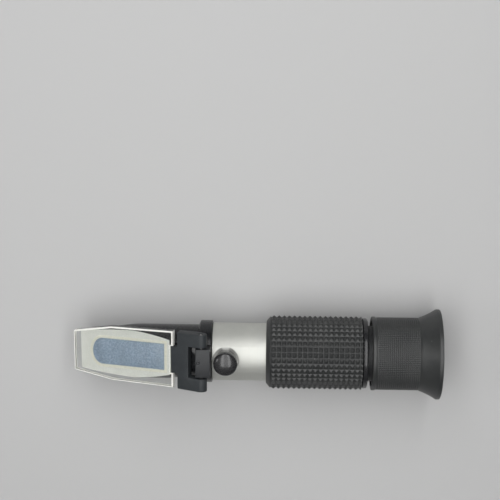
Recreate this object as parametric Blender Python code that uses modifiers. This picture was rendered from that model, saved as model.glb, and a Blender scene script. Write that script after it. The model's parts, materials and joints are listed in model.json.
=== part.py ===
"""A handheld refractometer: a prism head under a hinged daylight plate, a barrel with a rubber grip
of small pyramids, a capped calibration screw and a focusing eyepiece in a rubber eyecup.

The optical axis runs along X, with the prism end at -X and the eyecup at +X, and the prism face
looks up (+Z). The origin lies under the middle of the part, on the surface that it rests on.
Sizes are millimetres and degrees, and MM turns them into Blender's metres.
"""

import math

import bmesh
import bpy
from mathutils import Matrix

MM = 0.001

# Clearances
FIT = 0.3
SLIDE_FIT = 0.4
GLUE = 0.15

# Facets of the large turned pieces, the small ones and the rows of the grip
SIDES = 40
SMALL_SIDES = 24
TINY_SIDES = 12
GRIP_ROWS = 40

# Points along the round outlines
WINDOW_STEPS = 16
BOSS_STEPS = 10
O_RING_STEPS = 5
ROUNDING_STEPS = 3

# Lengths along the axis, from the front of the barrel
COLLAR_LENGTH = 5.5
COLLAR_CONE = 1.0
BARREL_SHOWN = 24.0
GRIP_LENGTH = 42.7
RING_LENGTH = 2.2
FOCUS_GAP = 2.0
EYECUP_LENGTH = 30.6

# Prism head
HEAD_RADIUS = 12.0
COLLAR_RADIUS = 14.0
COLLAR_EDGE = 0.5
NOSE_RADIUS = 8.9
NOSE_SETBACK = 3.5
NOSE_TAPER = 24.6
NOSE_EDGE = 0.6
FACE_SLOPE = 14.6
SPIGOT_RADIUS = 10.3
SPIGOT_LENGTH = 3.6
LIGHT_BORE = 6.5

# Measuring prism, the window that it fills, with an oval front end, and the bead of cement round it
PRISM_WIDTH = 12.2
PRISM_LENGTH = 34.1
PRISM_END = 4.6
PRISM_SETBACK = 15.1
PRISM_FLOOR = -5.0
BEAD_WIDTH = 1.2
BEAD_DEPTH = 1.0

# Seal between head and barrel
O_RING_THICKNESS = 1.2
O_RING_GROOVE = 1.6
O_RING_ARC = 300

# Hinge of the daylight plate
PIN_SETBACK = 4.5
PIN_HEIGHT = 16.2
PIN_RADIUS = 0.75
PIN_RUN = 0.2
BLOCK_FRONT = 2.5
BLOCK_REAR = 4.0
BLOCK_WIDTH = 13.0
BLOCK_TOP = 18.2
BLOCK_EDGE = 0.3
STUD_RADIUS = 2.0
STUD_LENGTH = 3.0

# Daylight plate, measured along its slope from the hinge pin, its rear end as wide as the bracket
PLATE_REACH = 60.5
PLATE_THICKNESS = 3.5
PLATE_GAP = 0.3
PLATE_NOSE_WIDTH = 19.0
PLATE_SHOULDER = 18.2
PLATE_SHOULDER_INSET = 0.5
PLATE_CORNER = 0.9
PLATE_CORNER_FROM = 105
PLATE_EDGE = 0.25
HORN_GAP = 2.3

# Bracket that carries the plate on the pin
BRACKET_WIDTH = 26.2
BRACKET_LENGTH = 10.9
TONGUE_LENGTH = 3.2
TONGUE_WIDTH = 12.2
SLOT_GAP = 0.7
SLOT_DEPTH = 5.5
BOSS_RADIUS = 2.6
BRACKET_EDGE = 0.25

# Barrel
BARREL_RADIUS = 13.0
BARREL_BORE = 10.6
BARREL_EDGE = 0.3
NECK_RADIUS = 12.5
NECK_BEYOND_RING = 7.0

# Grip of small pyramids, which ends at the rear in half a column
GRIP_RADIUS = 16.5
GRIP_COLUMNS = 17
PYRAMID_HEIGHT = 0.7
GRIP_LIP = 2.2
GRIP_LIP_STEP = 0.4
GRIP_LIP_RADIUS = 16.1
GRIP_NOSE_RADIUS = 14.0

# Ring behind the grip
RING_RADIUS = 15.8
RING_EDGE = 0.5

# Calibration screw, its bush and its cap
SCREW_SETBACK = 6.2
SPOT_RADIUS = 5.9
SPOT_HEIGHT = 11.7
BUSH_RADIUS = 2.6
BUSH_FLANGE_RADIUS = 3.7
BUSH_FLANGE = 1.0
BUSH_LENGTH = 2.2
SCREW_HEAD_RADIUS = 2.0
SCREW_HEAD = 1.6
SCREW_RADIUS = 1.2
SCREW_SLOT = 0.6
SCREW_SLOT_DEPTH = 0.8
CAP_FOOT_RADIUS = 4.6
CAP_RADIUS = 5.3
CAP_FLARE = 4.2
CAP_WALL = 2.0
CAP_SHOULDER = 1.5
CAP_SHOULDER_FROM = 20
CAP_CROWN = 0.5
CAP_POCKET = 4.0

# Objective lens on its temperature strip, moved by the calibration screw
SEAT_FRONT = 2.3
SEAT_LENGTH = 8.2
SEAT_WIDTH = 6.0
SEAT_LOW = 5.2
SEAT_HIGH = 7.6
LENS_SHIFT = 0.45
GUIDE_BORE = 5.4
STRIP_OVERLAP = 3.4
STRIP_LENGTH = 18.0
STRIP_THICKNESS = 0.4
STRIP_WIDTH = 6.0
STRIP_SCREW_SPACING = 3.2
STRIP_SCREW_INSET = 1.7
STRIP_SCREW_RADIUS = 0.5
STRIP_SCREW_HEAD_RADIUS = 0.9
STRIP_SCREW_HEAD = 0.6
STRIP_SCREW_LENGTH = 2.2
CELL_RADIUS = 7.2
CELL_LENGTH = 4.6
CELL_LIP = 0.8
OBJECTIVE_RADIUS = 6.2
OBJECTIVE_THICKNESS = 2.4
OBJECTIVE_BULGE = 0.6
RETAINER_LENGTH = 0.7

# Reticle
RETICLE_RADIUS = 8.6
RETICLE_THICKNESS = 1.5
RETICLE_CELL_LENGTH = 4.0
RETICLE_OPENING = 7.6
RETICLE_SETBACK = 3.0

# Eyepiece
EYEPIECE_RADIUS = 14.6
EYEPIECE_RECESS = 0.5
FOCUS_IN = 1.5
LENS_BORE = 9.6
LENS_STOP_RADIUS = 8.4
LENS_STOP = 1.2
FIELD_LENS_THICKNESS = 3.4
FIELD_LENS_BULGE = 1.1
LENS_SPACER_LENGTH = 3.6
EYE_LENS_THICKNESS = 3.6
EYE_LENS_BULGE = 1.2
RETAINING_RING_LENGTH = 1.4
RING_OPENING = 8.2

# Eyecup
SLEEVE_RADIUS = 16.3
BEAD_RADIUS = 16.6
EYECUP_BEAD = 1.7
EYECUP_BEAD_EDGE = 0.35
SLEEVE_LENGTH = 21.0
FLARE_MIDDLE = 0.5
FLARE_SWELL = 0.42
RIM_RADIUS = 20.3
RIM_LENGTH = 1.6
RIM_EDGE = 0.25
RIM_WALL = 1.9
WEB = 1.2
EYE_OPENING = 9.2

# Places along the axis that follow from the sizes above
SLOPE = math.radians(FACE_SLOPE)
ALONG = (math.cos(SLOPE), math.sin(SLOPE))
RUNOUT_FROM_PIN = PIN_SETBACK - COLLAR_LENGTH - COLLAR_CONE
FACE_BELOW_PIN = (PIN_HEIGHT - HEAD_RADIUS) * ALONG[0] + RUNOUT_FROM_PIN * ALONG[1]
PLATE_TOP = PLATE_GAP + PLATE_THICKNESS - FACE_BELOW_PIN
FRONT_REACH = PIN_SETBACK + PLATE_REACH * ALONG[0] + PLATE_TOP * ALONG[1]
REAR_REACH = BARREL_SHOWN + GRIP_LENGTH + FIT + RING_LENGTH + FOCUS_GAP + EYECUP_LENGTH

AXIS_HEIGHT = RIM_RADIUS * math.cos(math.pi / GRIP_ROWS)
BARREL_FRONT = (FRONT_REACH - REAR_REACH) / 2
PIN_X = BARREL_FRONT - PIN_SETBACK
RUNOUT_X = PIN_X + RUNOUT_FROM_PIN
NOSE_X = BARREL_FRONT - FRONT_REACH + NOSE_SETBACK
SCREW_X = BARREL_FRONT + SCREW_SETBACK
GRIP_FRONT = BARREL_FRONT + BARREL_SHOWN
GRIP_REAR = GRIP_FRONT + GRIP_LENGTH
RING_FRONT = GRIP_REAR + FIT
RING_REAR = RING_FRONT + RING_LENGTH
NECK_REAR = RING_REAR + NECK_BEYOND_RING
EYECUP_FRONT = RING_REAR + FOCUS_GAP
EYECUP_REAR = EYECUP_FRONT + EYECUP_LENGTH

# Cutters reach this far past what they cut
BEYOND = 1.0
FAR = 60.0

# Corners sharper than this are bevelled, and points closer than this are one point
SHARP_CORNER = 50
TOUCH = 0.01


def clear_scene():
    for obj in list(bpy.data.objects):
        bpy.data.objects.remove(obj, do_unlink=True)


def new_collection(name):
    collection = bpy.data.collections.new(name)
    bpy.context.scene.collection.children.link(collection)
    return collection


def new_empty(name, location, parent=None, tilt=0.0):
    """A frame that pieces are placed in, tilt degrees up towards +X."""
    empty = bpy.data.objects.new(name, None)
    empty.empty_display_size = 5 * MM
    empty.location = [value * MM for value in location]
    empty.rotation_euler = (0, -math.radians(tilt), 0)
    empty.parent = parent
    PARTS.objects.link(empty)
    return empty


def new_material(name, colour, roughness, metallic=0.0, transmission=0.0):
    material = bpy.data.materials.new(name)
    material.use_nodes = True
    shader = material.node_tree.nodes["Principled BSDF"]
    shader.inputs["Base Color"].default_value = (*colour, 1)
    shader.inputs["Roughness"].default_value = roughness
    shader.inputs["Metallic"].default_value = metallic
    shader.inputs["Transmission Weight"].default_value = transmission
    return material


def add_piece(name, mesh, frame, finish):
    """Makes a piece of the object where finish is a material, and a hidden cutter where it is None."""
    obj = bpy.data.objects.new(name, mesh)
    obj.parent = frame
    if finish is None:
        obj.hide_render = True
        obj.display_type = "WIRE"
        CUTTERS.objects.link(obj)
    else:
        mesh.materials.append(finish)
        PARTS.objects.link(obj)
    return obj


def turned(name, profile, frame, finish=None, sides=SIDES, upright=False):
    """Turns a profile of (place, radius) points round the X axis of its frame, or round Z if upright.

    The points run down the outside from the far end, and a profile clear of the axis is closed to a ring.
    A flat facet faces down.
    """
    half = math.pi / sides
    aside, across = math.cos(half) * MM, math.sin(half) * MM
    points = [(radius * aside, radius * across, place * MM) for place, radius in profile]
    edges = [(index, index + 1) for index in range(len(points) - 1)]
    if all(radius > 0 for _, radius in profile):
        edges.append((len(points) - 1, 0))
    mesh = bpy.data.meshes.new(name)
    mesh.from_pydata(points, edges, [])
    obj = add_piece(name, mesh, frame, finish)
    if not upright:
        obj.rotation_euler = (0, math.pi / 2, 0)
    screw = obj.modifiers.new("Turn", "SCREW")
    screw.steps = sides
    screw.render_steps = sides
    screw.use_merge_vertices = True
    screw.merge_threshold = TOUCH * MM
    screw.use_smooth_shade = True
    return obj


def rod(name, low, high, radius, frame, finish=None, sides=SMALL_SIDES, upright=False):
    """A plain round bar between two places on its axis."""
    profile = [(high, 0), (high, radius), (low, radius), (low, 0)]
    return turned(name, profile, frame, finish, sides, upright)


def box(name, low, high, frame, finish=None):
    """A block between two corners."""
    centre = [(a + b) / 2 * MM for a, b in zip(low, high)]
    size = [(b - a) * MM for a, b in zip(low, high)]
    shape = bmesh.new()
    bmesh.ops.create_cube(shape, size=1, matrix=Matrix.Translation(centre) @ Matrix.Diagonal((*size, 1)))
    mesh = bpy.data.meshes.new(name)
    shape.to_mesh(mesh)
    shape.free()
    return add_piece(name, mesh, frame, finish)


def slab(name, outline, depth, frame, finish=None):
    """An outline in the XY plane of its frame, given anticlockwise, thickened downwards by depth."""
    mesh = bpy.data.meshes.new(name)
    points = [(x * MM, y * MM, 0) for x, y in outline]
    mesh.from_pydata(points, [], [range(len(points))])
    obj = add_piece(name, mesh, frame, finish)
    solid = obj.modifiers.new("Thickness", "SOLIDIFY")
    solid.thickness = depth * MM
    solid.offset = -1
    return obj


def combine(obj, tool, operation="DIFFERENCE"):
    boolean = obj.modifiers.new(tool.name, "BOOLEAN")
    boolean.operation = operation
    boolean.object = tool
    return obj


def bevel(obj, width, segments=1):
    modifier = obj.modifiers.new("Edges", "BEVEL")
    modifier.width = width * MM
    modifier.segments = segments
    modifier.limit_method = "ANGLE"
    modifier.angle_limit = math.radians(SHARP_CORNER)
    modifier.use_clamp_overlap = True
    return obj


def arc(centre, radius, start, end, steps):
    """Points round a centre from one angle to another, in degrees."""
    angles = [math.radians(start + (end - start) * step / steps) for step in range(steps + 1)]
    return [(centre[0] + radius * math.cos(a), centre[1] + radius * math.sin(a)) for a in angles]


def window_outline(grow):
    """The prism's window in the face: an oval front end and a straight rear end, grown all round."""
    side = PRISM_WIDTH / 2 + grow
    depth = PRISM_END + grow
    rear = -PRISM_SETBACK + grow
    centre = -PRISM_SETBACK - PRISM_LENGTH + PRISM_END
    end = [(centre + depth * x, side * y) for x, y in arc((0, 0), 1, 90, 270, WINDOW_STEPS)]
    return end + [(rear, -side), (rear, side)]


def lens_profile(front, thickness, radius, front_bulge, rear_bulge, steps=3):
    """Half the section of a lens whose middle reaches from front to front + thickness."""
    rear = front + thickness
    shares = [step / steps for step in range(steps + 1)]
    outer = [(rear - rear_bulge * share**2, radius * share) for share in shares]
    inner = [(front + front_bulge * share**2, radius * share) for share in reversed(shares)]
    return outer + inner


def bulge_within(bulge, radius, opening):
    """How far a lens of this bulge stands forward of the circle where an opening touches it."""
    return bulge * (opening / radius) ** 2


def make_head(axis, face):
    """The prism head: collar, tapered nose, slanted face, prism pocket and light bore."""
    groove_front = BARREL_FRONT + FIT
    groove_rear = groove_front + O_RING_GROOVE
    groove_radius = BARREL_BORE - O_RING_THICKNESS - FIT
    collar_rear = BARREL_FRONT - FIT
    collar_front = BARREL_FRONT - COLLAR_LENGTH
    spigot_rear = BARREL_FRONT + SPIGOT_LENGTH
    bore_front = RUNOUT_X - PRISM_SETBACK
    head = turned(
        "head_body",
        [
            (bore_front, 0),
            (bore_front, LIGHT_BORE),
            (spigot_rear, LIGHT_BORE),
            (spigot_rear, SPIGOT_RADIUS),
            (groove_rear, SPIGOT_RADIUS),
            (groove_rear, groove_radius),
            (groove_front, groove_radius),
            (groove_front, SPIGOT_RADIUS),
            (collar_rear, SPIGOT_RADIUS),
            (collar_rear, COLLAR_RADIUS - COLLAR_EDGE),
            (collar_rear - COLLAR_EDGE, COLLAR_RADIUS),
            (collar_front, COLLAR_RADIUS),
            (RUNOUT_X, HEAD_RADIUS),
            (NOSE_X + NOSE_TAPER, HEAD_RADIUS),
            (NOSE_X + NOSE_EDGE, NOSE_RADIUS),
            (NOSE_X, NOSE_RADIUS - NOSE_EDGE),
            (NOSE_X, 0),
        ],
        axis,
        BLACK_METAL,
    )
    slant = box("slant_cutter", (-FAR * 2, -FAR, 0), (0, FAR, FAR), face)
    pocket = slab("pocket_cutter", window_outline(BEAD_WIDTH + 2 * GLUE), FAR / 2, face)
    pocket.location.z = BEYOND * MM
    pocket_floor = box("pocket_floor", (-FAR * 2, -FAR, -FAR), (FAR, FAR, PRISM_FLOOR - FIT), axis)
    combine(pocket, pocket_floor)
    seat_side = BLOCK_WIDTH / 2 + FIT
    seat = box(
        "block_seat_cutter",
        (PIN_X - BLOCK_FRONT - FIT, -seat_side, HEAD_RADIUS),
        (BARREL_FRONT - FIT / 2, seat_side, FAR),
        axis,
    )
    stud_hole = rod(
        "stud_hole",
        HEAD_RADIUS - STUD_LENGTH - FIT,
        HEAD_RADIUS + BEYOND,
        STUD_RADIUS + GLUE,
        new_empty("block_axis", (PIN_X + (BLOCK_REAR - BLOCK_FRONT) / 2, 0, 0), axis),
        upright=True,
    )
    for cutter in (slant, pocket, seat, stud_hole):
        combine(head, cutter)

    middle = (groove_front + groove_rear) / 2
    ring_radius = BARREL_BORE - O_RING_THICKNESS / 2 - GLUE
    turned(
        "head_o_ring",
        arc((middle, ring_radius), O_RING_THICKNESS / 2, 0, O_RING_ARC, O_RING_STEPS),
        axis,
        BLACK_RUBBER,
    )


def make_prism(axis, face):
    """The glass wedge in the face, its sloping top flush with the metal, and the bead round it."""
    prism = slab("measuring_prism", window_outline(0), FAR / 2, face, PRISM_GLASS)
    combine(prism, box("prism_floor", (-FAR * 2, -FAR, -FAR), (FAR, FAR, PRISM_FLOOR), axis))
    bead = slab("prism_seal", window_outline(BEAD_WIDTH + GLUE), BEAD_DEPTH, face, CEMENT)
    opening = slab("seal_opening", window_outline(GLUE), BEAD_DEPTH + 2 * BEYOND, face)
    opening.location.z = BEYOND * MM
    combine(bead, opening)


def make_hinge(axis):
    """The block on the collar and the pin through it."""
    block = box(
        "hinge_block",
        (PIN_X - BLOCK_FRONT, -BLOCK_WIDTH / 2, HEAD_RADIUS + GLUE),
        (PIN_X + BLOCK_REAR, BLOCK_WIDTH / 2, BLOCK_TOP),
        axis,
        BLACK_METAL,
    )
    stud = rod(
        "block_stud",
        HEAD_RADIUS - STUD_LENGTH,
        HEAD_RADIUS + GLUE + BEYOND,
        STUD_RADIUS,
        new_empty("stud_axis", (PIN_X + (BLOCK_REAR - BLOCK_FRONT) / 2, 0, 0), axis),
        upright=True,
    )
    combine(block, stud, "UNION")
    pin_line = new_empty("pin_line", (PIN_X, 0, PIN_HEIGHT), axis)
    pin_line.rotation_euler = (0, 0, math.pi / 2)
    combine(block, rod("block_pin_hole", -FAR, FAR, PIN_RADIUS + GLUE, pin_line))
    bevel(block, BLOCK_EDGE)
    half = BRACKET_WIDTH / 2 - FIT
    rod("hinge_pin", -half, half, PIN_RADIUS, pin_line, STEEL)


def make_flap(hinge):
    """The clear daylight plate and the bracket that carries it, in the hinge pin's sloping frame."""
    shoulder = -BRACKET_LENGTH
    tongue_end = shoulder - TONGUE_LENGTH
    notch_floor = tongue_end - GLUE
    horn_end = shoulder - HORN_GAP
    notch = TONGUE_WIDTH / 2 + GLUE
    side_edge = BRACKET_WIDTH / 2
    nose = PLATE_NOSE_WIDTH / 2
    corner = (-PLATE_REACH + PLATE_CORNER, nose - PLATE_CORNER)
    upper_half = [
        (notch_floor, notch),
        (horn_end, notch),
        (horn_end, side_edge),
        (-PLATE_REACH + PLATE_SHOULDER, side_edge - PLATE_SHOULDER_INSET),
        *arc(corner, PLATE_CORNER, PLATE_CORNER_FROM, 180, ROUNDING_STEPS),
    ]
    lower_half = [(x, -y) for x, y in reversed(upper_half)]
    plate = slab("daylight_plate", upper_half + lower_half, PLATE_THICKNESS, hinge, CLEAR_PLASTIC)
    plate.location.z = PLATE_TOP * MM
    bevel(plate, PLATE_EDGE)

    bottom = PLATE_TOP - PLATE_THICKNESS
    top = PLATE_TOP
    rise = math.degrees(math.atan2(BOSS_RADIUS - top, -tongue_end))
    side = [
        (tongue_end, bottom),
        (-BOSS_RADIUS, bottom),
        *arc((0, 0), BOSS_RADIUS, 270, 360 + 90 + rise, BOSS_STEPS),
        (tongue_end, top),
    ]
    standing = new_empty("bracket_side", (0, 0, 0), hinge)
    standing.rotation_euler = (math.pi / 2, 0, 0)
    bracket = slab("plate_bracket", side, BRACKET_WIDTH, standing, DARK_PLASTIC)
    bracket.location.z = BRACKET_WIDTH / 2 * MM
    slot_side = BLOCK_WIDTH / 2 + SLOT_GAP
    combine(bracket, box("bracket_slot", (-SLOT_DEPTH, -slot_side, -FAR), (FAR, slot_side, FAR), hinge))
    for side_name, sign in (("left", 1), ("right", -1)):
        edges = sorted((sign * TONGUE_WIDTH / 2, sign * FAR))
        low = (-FAR, edges[0], -FAR)
        high = (shoulder, edges[1], FAR)
        combine(bracket, box(f"tongue_{side_name}_cutter", low, high, hinge))
    bore_line = new_empty("bracket_bore_line", (0, 0, 0), hinge)
    bore_line.rotation_euler = (0, 0, math.pi / 2)
    combine(bracket, rod("bracket_bore", -FAR, FAR, PIN_RADIUS + PIN_RUN, bore_line))
    bevel(bracket, BRACKET_EDGE)


def make_barrel(axis, screw_axis):
    """The barrel tube with its spot face for the calibration screw, and the ring behind the grip."""
    shoulder = GRIP_REAR
    barrel = turned(
        "barrel_tube",
        [
            (NECK_REAR, NECK_RADIUS),
            (shoulder, NECK_RADIUS),
            (shoulder, BARREL_RADIUS),
            (BARREL_FRONT + BARREL_EDGE, BARREL_RADIUS),
            (BARREL_FRONT, BARREL_RADIUS - BARREL_EDGE),
            (BARREL_FRONT, BARREL_BORE),
            (NECK_REAR, BARREL_BORE),
        ],
        axis,
        SATIN_METAL,
    )
    spot = rod("spot_face_cutter", SPOT_HEIGHT, FAR, SPOT_RADIUS, screw_axis, sides=SIDES, upright=True)
    hole = rod("bush_hole", 0, FAR, BUSH_RADIUS + GLUE, screw_axis, upright=True)
    combine(barrel, spot)
    combine(barrel, hole)

    turned(
        "rear_ring",
        [
            (RING_REAR, RING_RADIUS - RING_EDGE),
            (RING_REAR - RING_EDGE, RING_RADIUS),
            (RING_FRONT + RING_EDGE, RING_RADIUS),
            (RING_FRONT, RING_RADIUS - RING_EDGE),
            (RING_FRONT, NECK_RADIUS + FIT),
            (RING_REAR, NECK_RADIUS + FIT),
        ],
        axis,
        BLACK_PLASTIC,
    )


def make_grip(axis):
    """A rubber sleeve whose outside is rows of four-sided pyramids, behind a smooth conical lip."""
    valley = (GRIP_RADIUS - PYRAMID_HEIGHT) / math.cos(math.pi / GRIP_ROWS)
    bore = BARREL_RADIUS + FIT
    pattern_front = GRIP_FRONT + GRIP_LIP
    lip_rear = pattern_front - GRIP_LIP_STEP
    pitch = (GRIP_REAR - pattern_front) / (GRIP_COLUMNS + 0.5)
    rings = [pattern_front + pitch * column for column in range(GRIP_COLUMNS + 1)]
    profile = [(GRIP_FRONT, bore), (GRIP_FRONT, GRIP_NOSE_RADIUS), (lip_rear, GRIP_LIP_RADIUS)]
    profile += [(place, valley) for place in [*rings, GRIP_REAR]]
    profile.append((GRIP_REAR, bore))
    half = math.pi / GRIP_ROWS
    shape = bmesh.new()
    loop = [
        shape.verts.new((place * MM, radius * math.sin(half) * MM, -radius * math.cos(half) * MM))
        for place, radius in profile
    ]
    edges = [shape.edges.new((loop[index - 1], loop[index])) for index in range(len(loop))]
    bmesh.ops.spin(
        shape,
        geom=loop + edges,
        cent=(0, 0, 0),
        axis=(1, 0, 0),
        angle=math.tau,
        steps=GRIP_ROWS,
        use_merge=True,
    )
    bmesh.ops.recalc_face_normals(shape, faces=shape.faces)
    pattern = [face for face in shape.faces if all(is_valley(vert, valley) for vert in face.verts)]
    tips = bmesh.ops.poke(shape, faces=pattern, offset=PYRAMID_HEIGHT * MM)["verts"]
    for tip in tips:
        if tip.co.x > rings[-1] * MM:
            tip.co.x = GRIP_REAR * MM
    mesh = bpy.data.meshes.new("grip_sleeve")
    shape.to_mesh(mesh)
    shape.free()
    add_piece("grip_sleeve", mesh, axis, GRIP_RUBBER)


def is_valley(vert, radius):
    """Whether a point of the grip lies on the round surface that the pyramids stand on."""
    return abs(math.hypot(vert.co.y, vert.co.z) - radius * MM) < TOUCH * MM


def make_calibration(screw_axis):
    """The bush in the barrel's spot face, the slotted screw in it and the cap over both."""
    flange_low = SPOT_HEIGHT + GLUE
    flange_top = flange_low + BUSH_FLANGE
    bush_low = flange_low - BUSH_LENGTH
    screw_bore = SCREW_RADIUS + FIT
    turned(
        "calibration_bush",
        [
            (flange_top, BUSH_FLANGE_RADIUS),
            (flange_low, BUSH_FLANGE_RADIUS),
            (flange_low, BUSH_RADIUS),
            (bush_low, BUSH_RADIUS),
            (bush_low, screw_bore),
            (flange_top, screw_bore),
        ],
        screw_axis,
        BRASS,
        SMALL_SIDES,
        upright=True,
    )
    head_low = flange_top + FIT
    head_top = head_low + SCREW_HEAD
    screw = turned(
        "calibration_screw",
        [
            (head_top, 0),
            (head_top, SCREW_HEAD_RADIUS),
            (head_low, SCREW_HEAD_RADIUS),
            (head_low, SCREW_RADIUS),
            (SEAT_LOW + FIT, SCREW_RADIUS),
            (SEAT_LOW + FIT, 0),
        ],
        screw_axis,
        STEEL,
        SMALL_SIDES,
        upright=True,
    )
    slot_low = head_top - SCREW_SLOT_DEPTH
    combine(
        screw,
        box("screw_slot", (-FAR, -SCREW_SLOT / 2, slot_low), (FAR, SCREW_SLOT / 2, FAR), screw_axis),
    )

    foot = SPOT_HEIGHT + FIT
    flare_top = foot + CAP_FLARE
    wall_top = flare_top + CAP_WALL
    pocket_top = head_top + 2 * FIT
    turned(
        "calibration_cap",
        [
            (wall_top + CAP_SHOULDER + CAP_CROWN, 0),
            *arc(
                (wall_top, CAP_RADIUS - CAP_SHOULDER), CAP_SHOULDER, CAP_SHOULDER_FROM, 90, ROUNDING_STEPS
            ),
            (flare_top, CAP_RADIUS),
            (foot, CAP_FOOT_RADIUS),
            (foot, CAP_POCKET),
            (pocket_top, CAP_POCKET),
            (pocket_top, 0),
        ],
        screw_axis,
        BLACK_RUBBER,
        SMALL_SIDES,
        upright=True,
    )


def make_lens_carriage(axis):
    """The seat that the screw moves, the strip on it and the objective lens that the strip carries."""
    seat_front = SCREW_X - SEAT_FRONT
    seat_rear = seat_front + SEAT_LENGTH
    half = SEAT_WIDTH / 2
    guide_front = BARREL_FRONT + SPIGOT_LENGTH + FIT
    guide_rear = seat_rear + FIT
    guide = turned(
        "lens_guide",
        [
            (guide_rear, BARREL_BORE - FIT),
            (guide_front, BARREL_BORE - FIT),
            (guide_front, GUIDE_BORE),
            (guide_rear, GUIDE_BORE),
        ],
        axis,
        BLACK_PLASTIC,
    )
    window_side = half + FIT
    window_low = SEAT_LOW - LENS_SHIFT - 2 * FIT
    combine(guide, box("guide_window", (-FAR, -window_side, window_low), (FAR, window_side, FAR), axis))

    seat = box("lens_seat", (seat_front, -half, SEAT_LOW), (seat_rear, half, SEAT_HIGH), axis, BRASS)
    seat_axis = new_empty("seat_screw_axis", (SCREW_X, 0, 0), axis)
    combine(seat, rod("seat_thread", 0, FAR, SCREW_RADIUS + FIT, seat_axis, upright=True))

    strip_low = SEAT_HIGH + GLUE
    strip_top = strip_low + STRIP_THICKNESS
    strip_front = seat_rear - STRIP_OVERLAP
    strip_rear = strip_front + STRIP_LENGTH
    half_strip = STRIP_WIDTH / 2
    strip = box(
        "bimetal_strip",
        (strip_front, -half_strip, strip_low),
        (strip_rear, half_strip, strip_top),
        axis,
        BRASS,
    )
    cell_front = strip_rear - CELL_LENGTH
    screw_x = strip_front + STRIP_SCREW_INSET
    for number, side in enumerate((-0.5, 0.5), start=1):
        place = new_empty(f"strip_screw_{number}_axis", (screw_x, side * STRIP_SCREW_SPACING, 0), axis)
        hole_radius = STRIP_SCREW_RADIUS + GLUE
        hole = rod(f"strip_hole_{number}", 0, FAR, hole_radius, place, sides=TINY_SIDES, upright=True)
        combine(strip, hole)
        combine(seat, hole)
        head_low = strip_top + GLUE
        turned(
            f"strip_screw_{number}",
            [
                (head_low + STRIP_SCREW_HEAD, 0),
                (head_low + STRIP_SCREW_HEAD, STRIP_SCREW_HEAD_RADIUS),
                (head_low, STRIP_SCREW_HEAD_RADIUS),
                (head_low, STRIP_SCREW_RADIUS),
                (head_low - STRIP_SCREW_LENGTH, STRIP_SCREW_RADIUS),
                (head_low - STRIP_SCREW_LENGTH, 0),
            ],
            place,
            STEEL,
            TINY_SIDES,
            upright=True,
        )

    opening = OBJECTIVE_RADIUS - CELL_LIP
    bulge = bulge_within(OBJECTIVE_BULGE, OBJECTIVE_RADIUS, opening)
    lens_front = cell_front + CELL_LIP + GLUE - bulge
    bore = OBJECTIVE_RADIUS + GLUE
    cell = turned(
        "objective_cell",
        [
            (strip_rear, CELL_RADIUS),
            (cell_front, CELL_RADIUS),
            (cell_front, opening),
            (cell_front + CELL_LIP, opening),
            (cell_front + CELL_LIP, bore),
            (strip_rear, bore),
        ],
        axis,
        BLACK_PLASTIC,
        SMALL_SIDES,
    )
    lug_low = OBJECTIVE_RADIUS + CELL_LIP
    lug = box("cell_lug", (cell_front, -half_strip, lug_low), (strip_rear, half_strip, SEAT_HIGH), axis)
    combine(cell, lug, "UNION")
    turned(
        "objective_lens",
        lens_profile(lens_front, OBJECTIVE_THICKNESS, OBJECTIVE_RADIUS, OBJECTIVE_BULGE, OBJECTIVE_BULGE),
        axis,
        LENS_GLASS,
        SMALL_SIDES,
    )
    retainer_front = lens_front + OBJECTIVE_THICKNESS - bulge + GLUE
    turned(
        "objective_retainer",
        [
            (retainer_front + RETAINER_LENGTH, OBJECTIVE_RADIUS),
            (retainer_front, OBJECTIVE_RADIUS),
            (retainer_front, opening),
            (retainer_front + RETAINER_LENGTH, opening),
        ],
        axis,
        BRASS,
        SMALL_SIDES,
    )


def make_reticle(axis):
    """The glass scale disc and the cell that holds it in the rear of the barrel."""
    cell_rear = NECK_REAR - RETICLE_SETBACK
    cell_front = cell_rear - RETICLE_CELL_LENGTH
    disc_rear = cell_rear - FIT
    disc_front = disc_rear - RETICLE_THICKNESS
    turned(
        "reticle_cell",
        [
            (cell_rear, BARREL_BORE - FIT),
            (cell_front, BARREL_BORE - FIT),
            (cell_front, RETICLE_OPENING),
            (disc_front - GLUE, RETICLE_OPENING),
            (disc_front - GLUE, RETICLE_RADIUS + GLUE),
            (cell_rear, RETICLE_RADIUS + GLUE),
        ],
        axis,
        BLACK_PLASTIC,
    )
    rod("reticle", disc_front, disc_rear, RETICLE_RADIUS, axis, LENS_GLASS)


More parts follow.
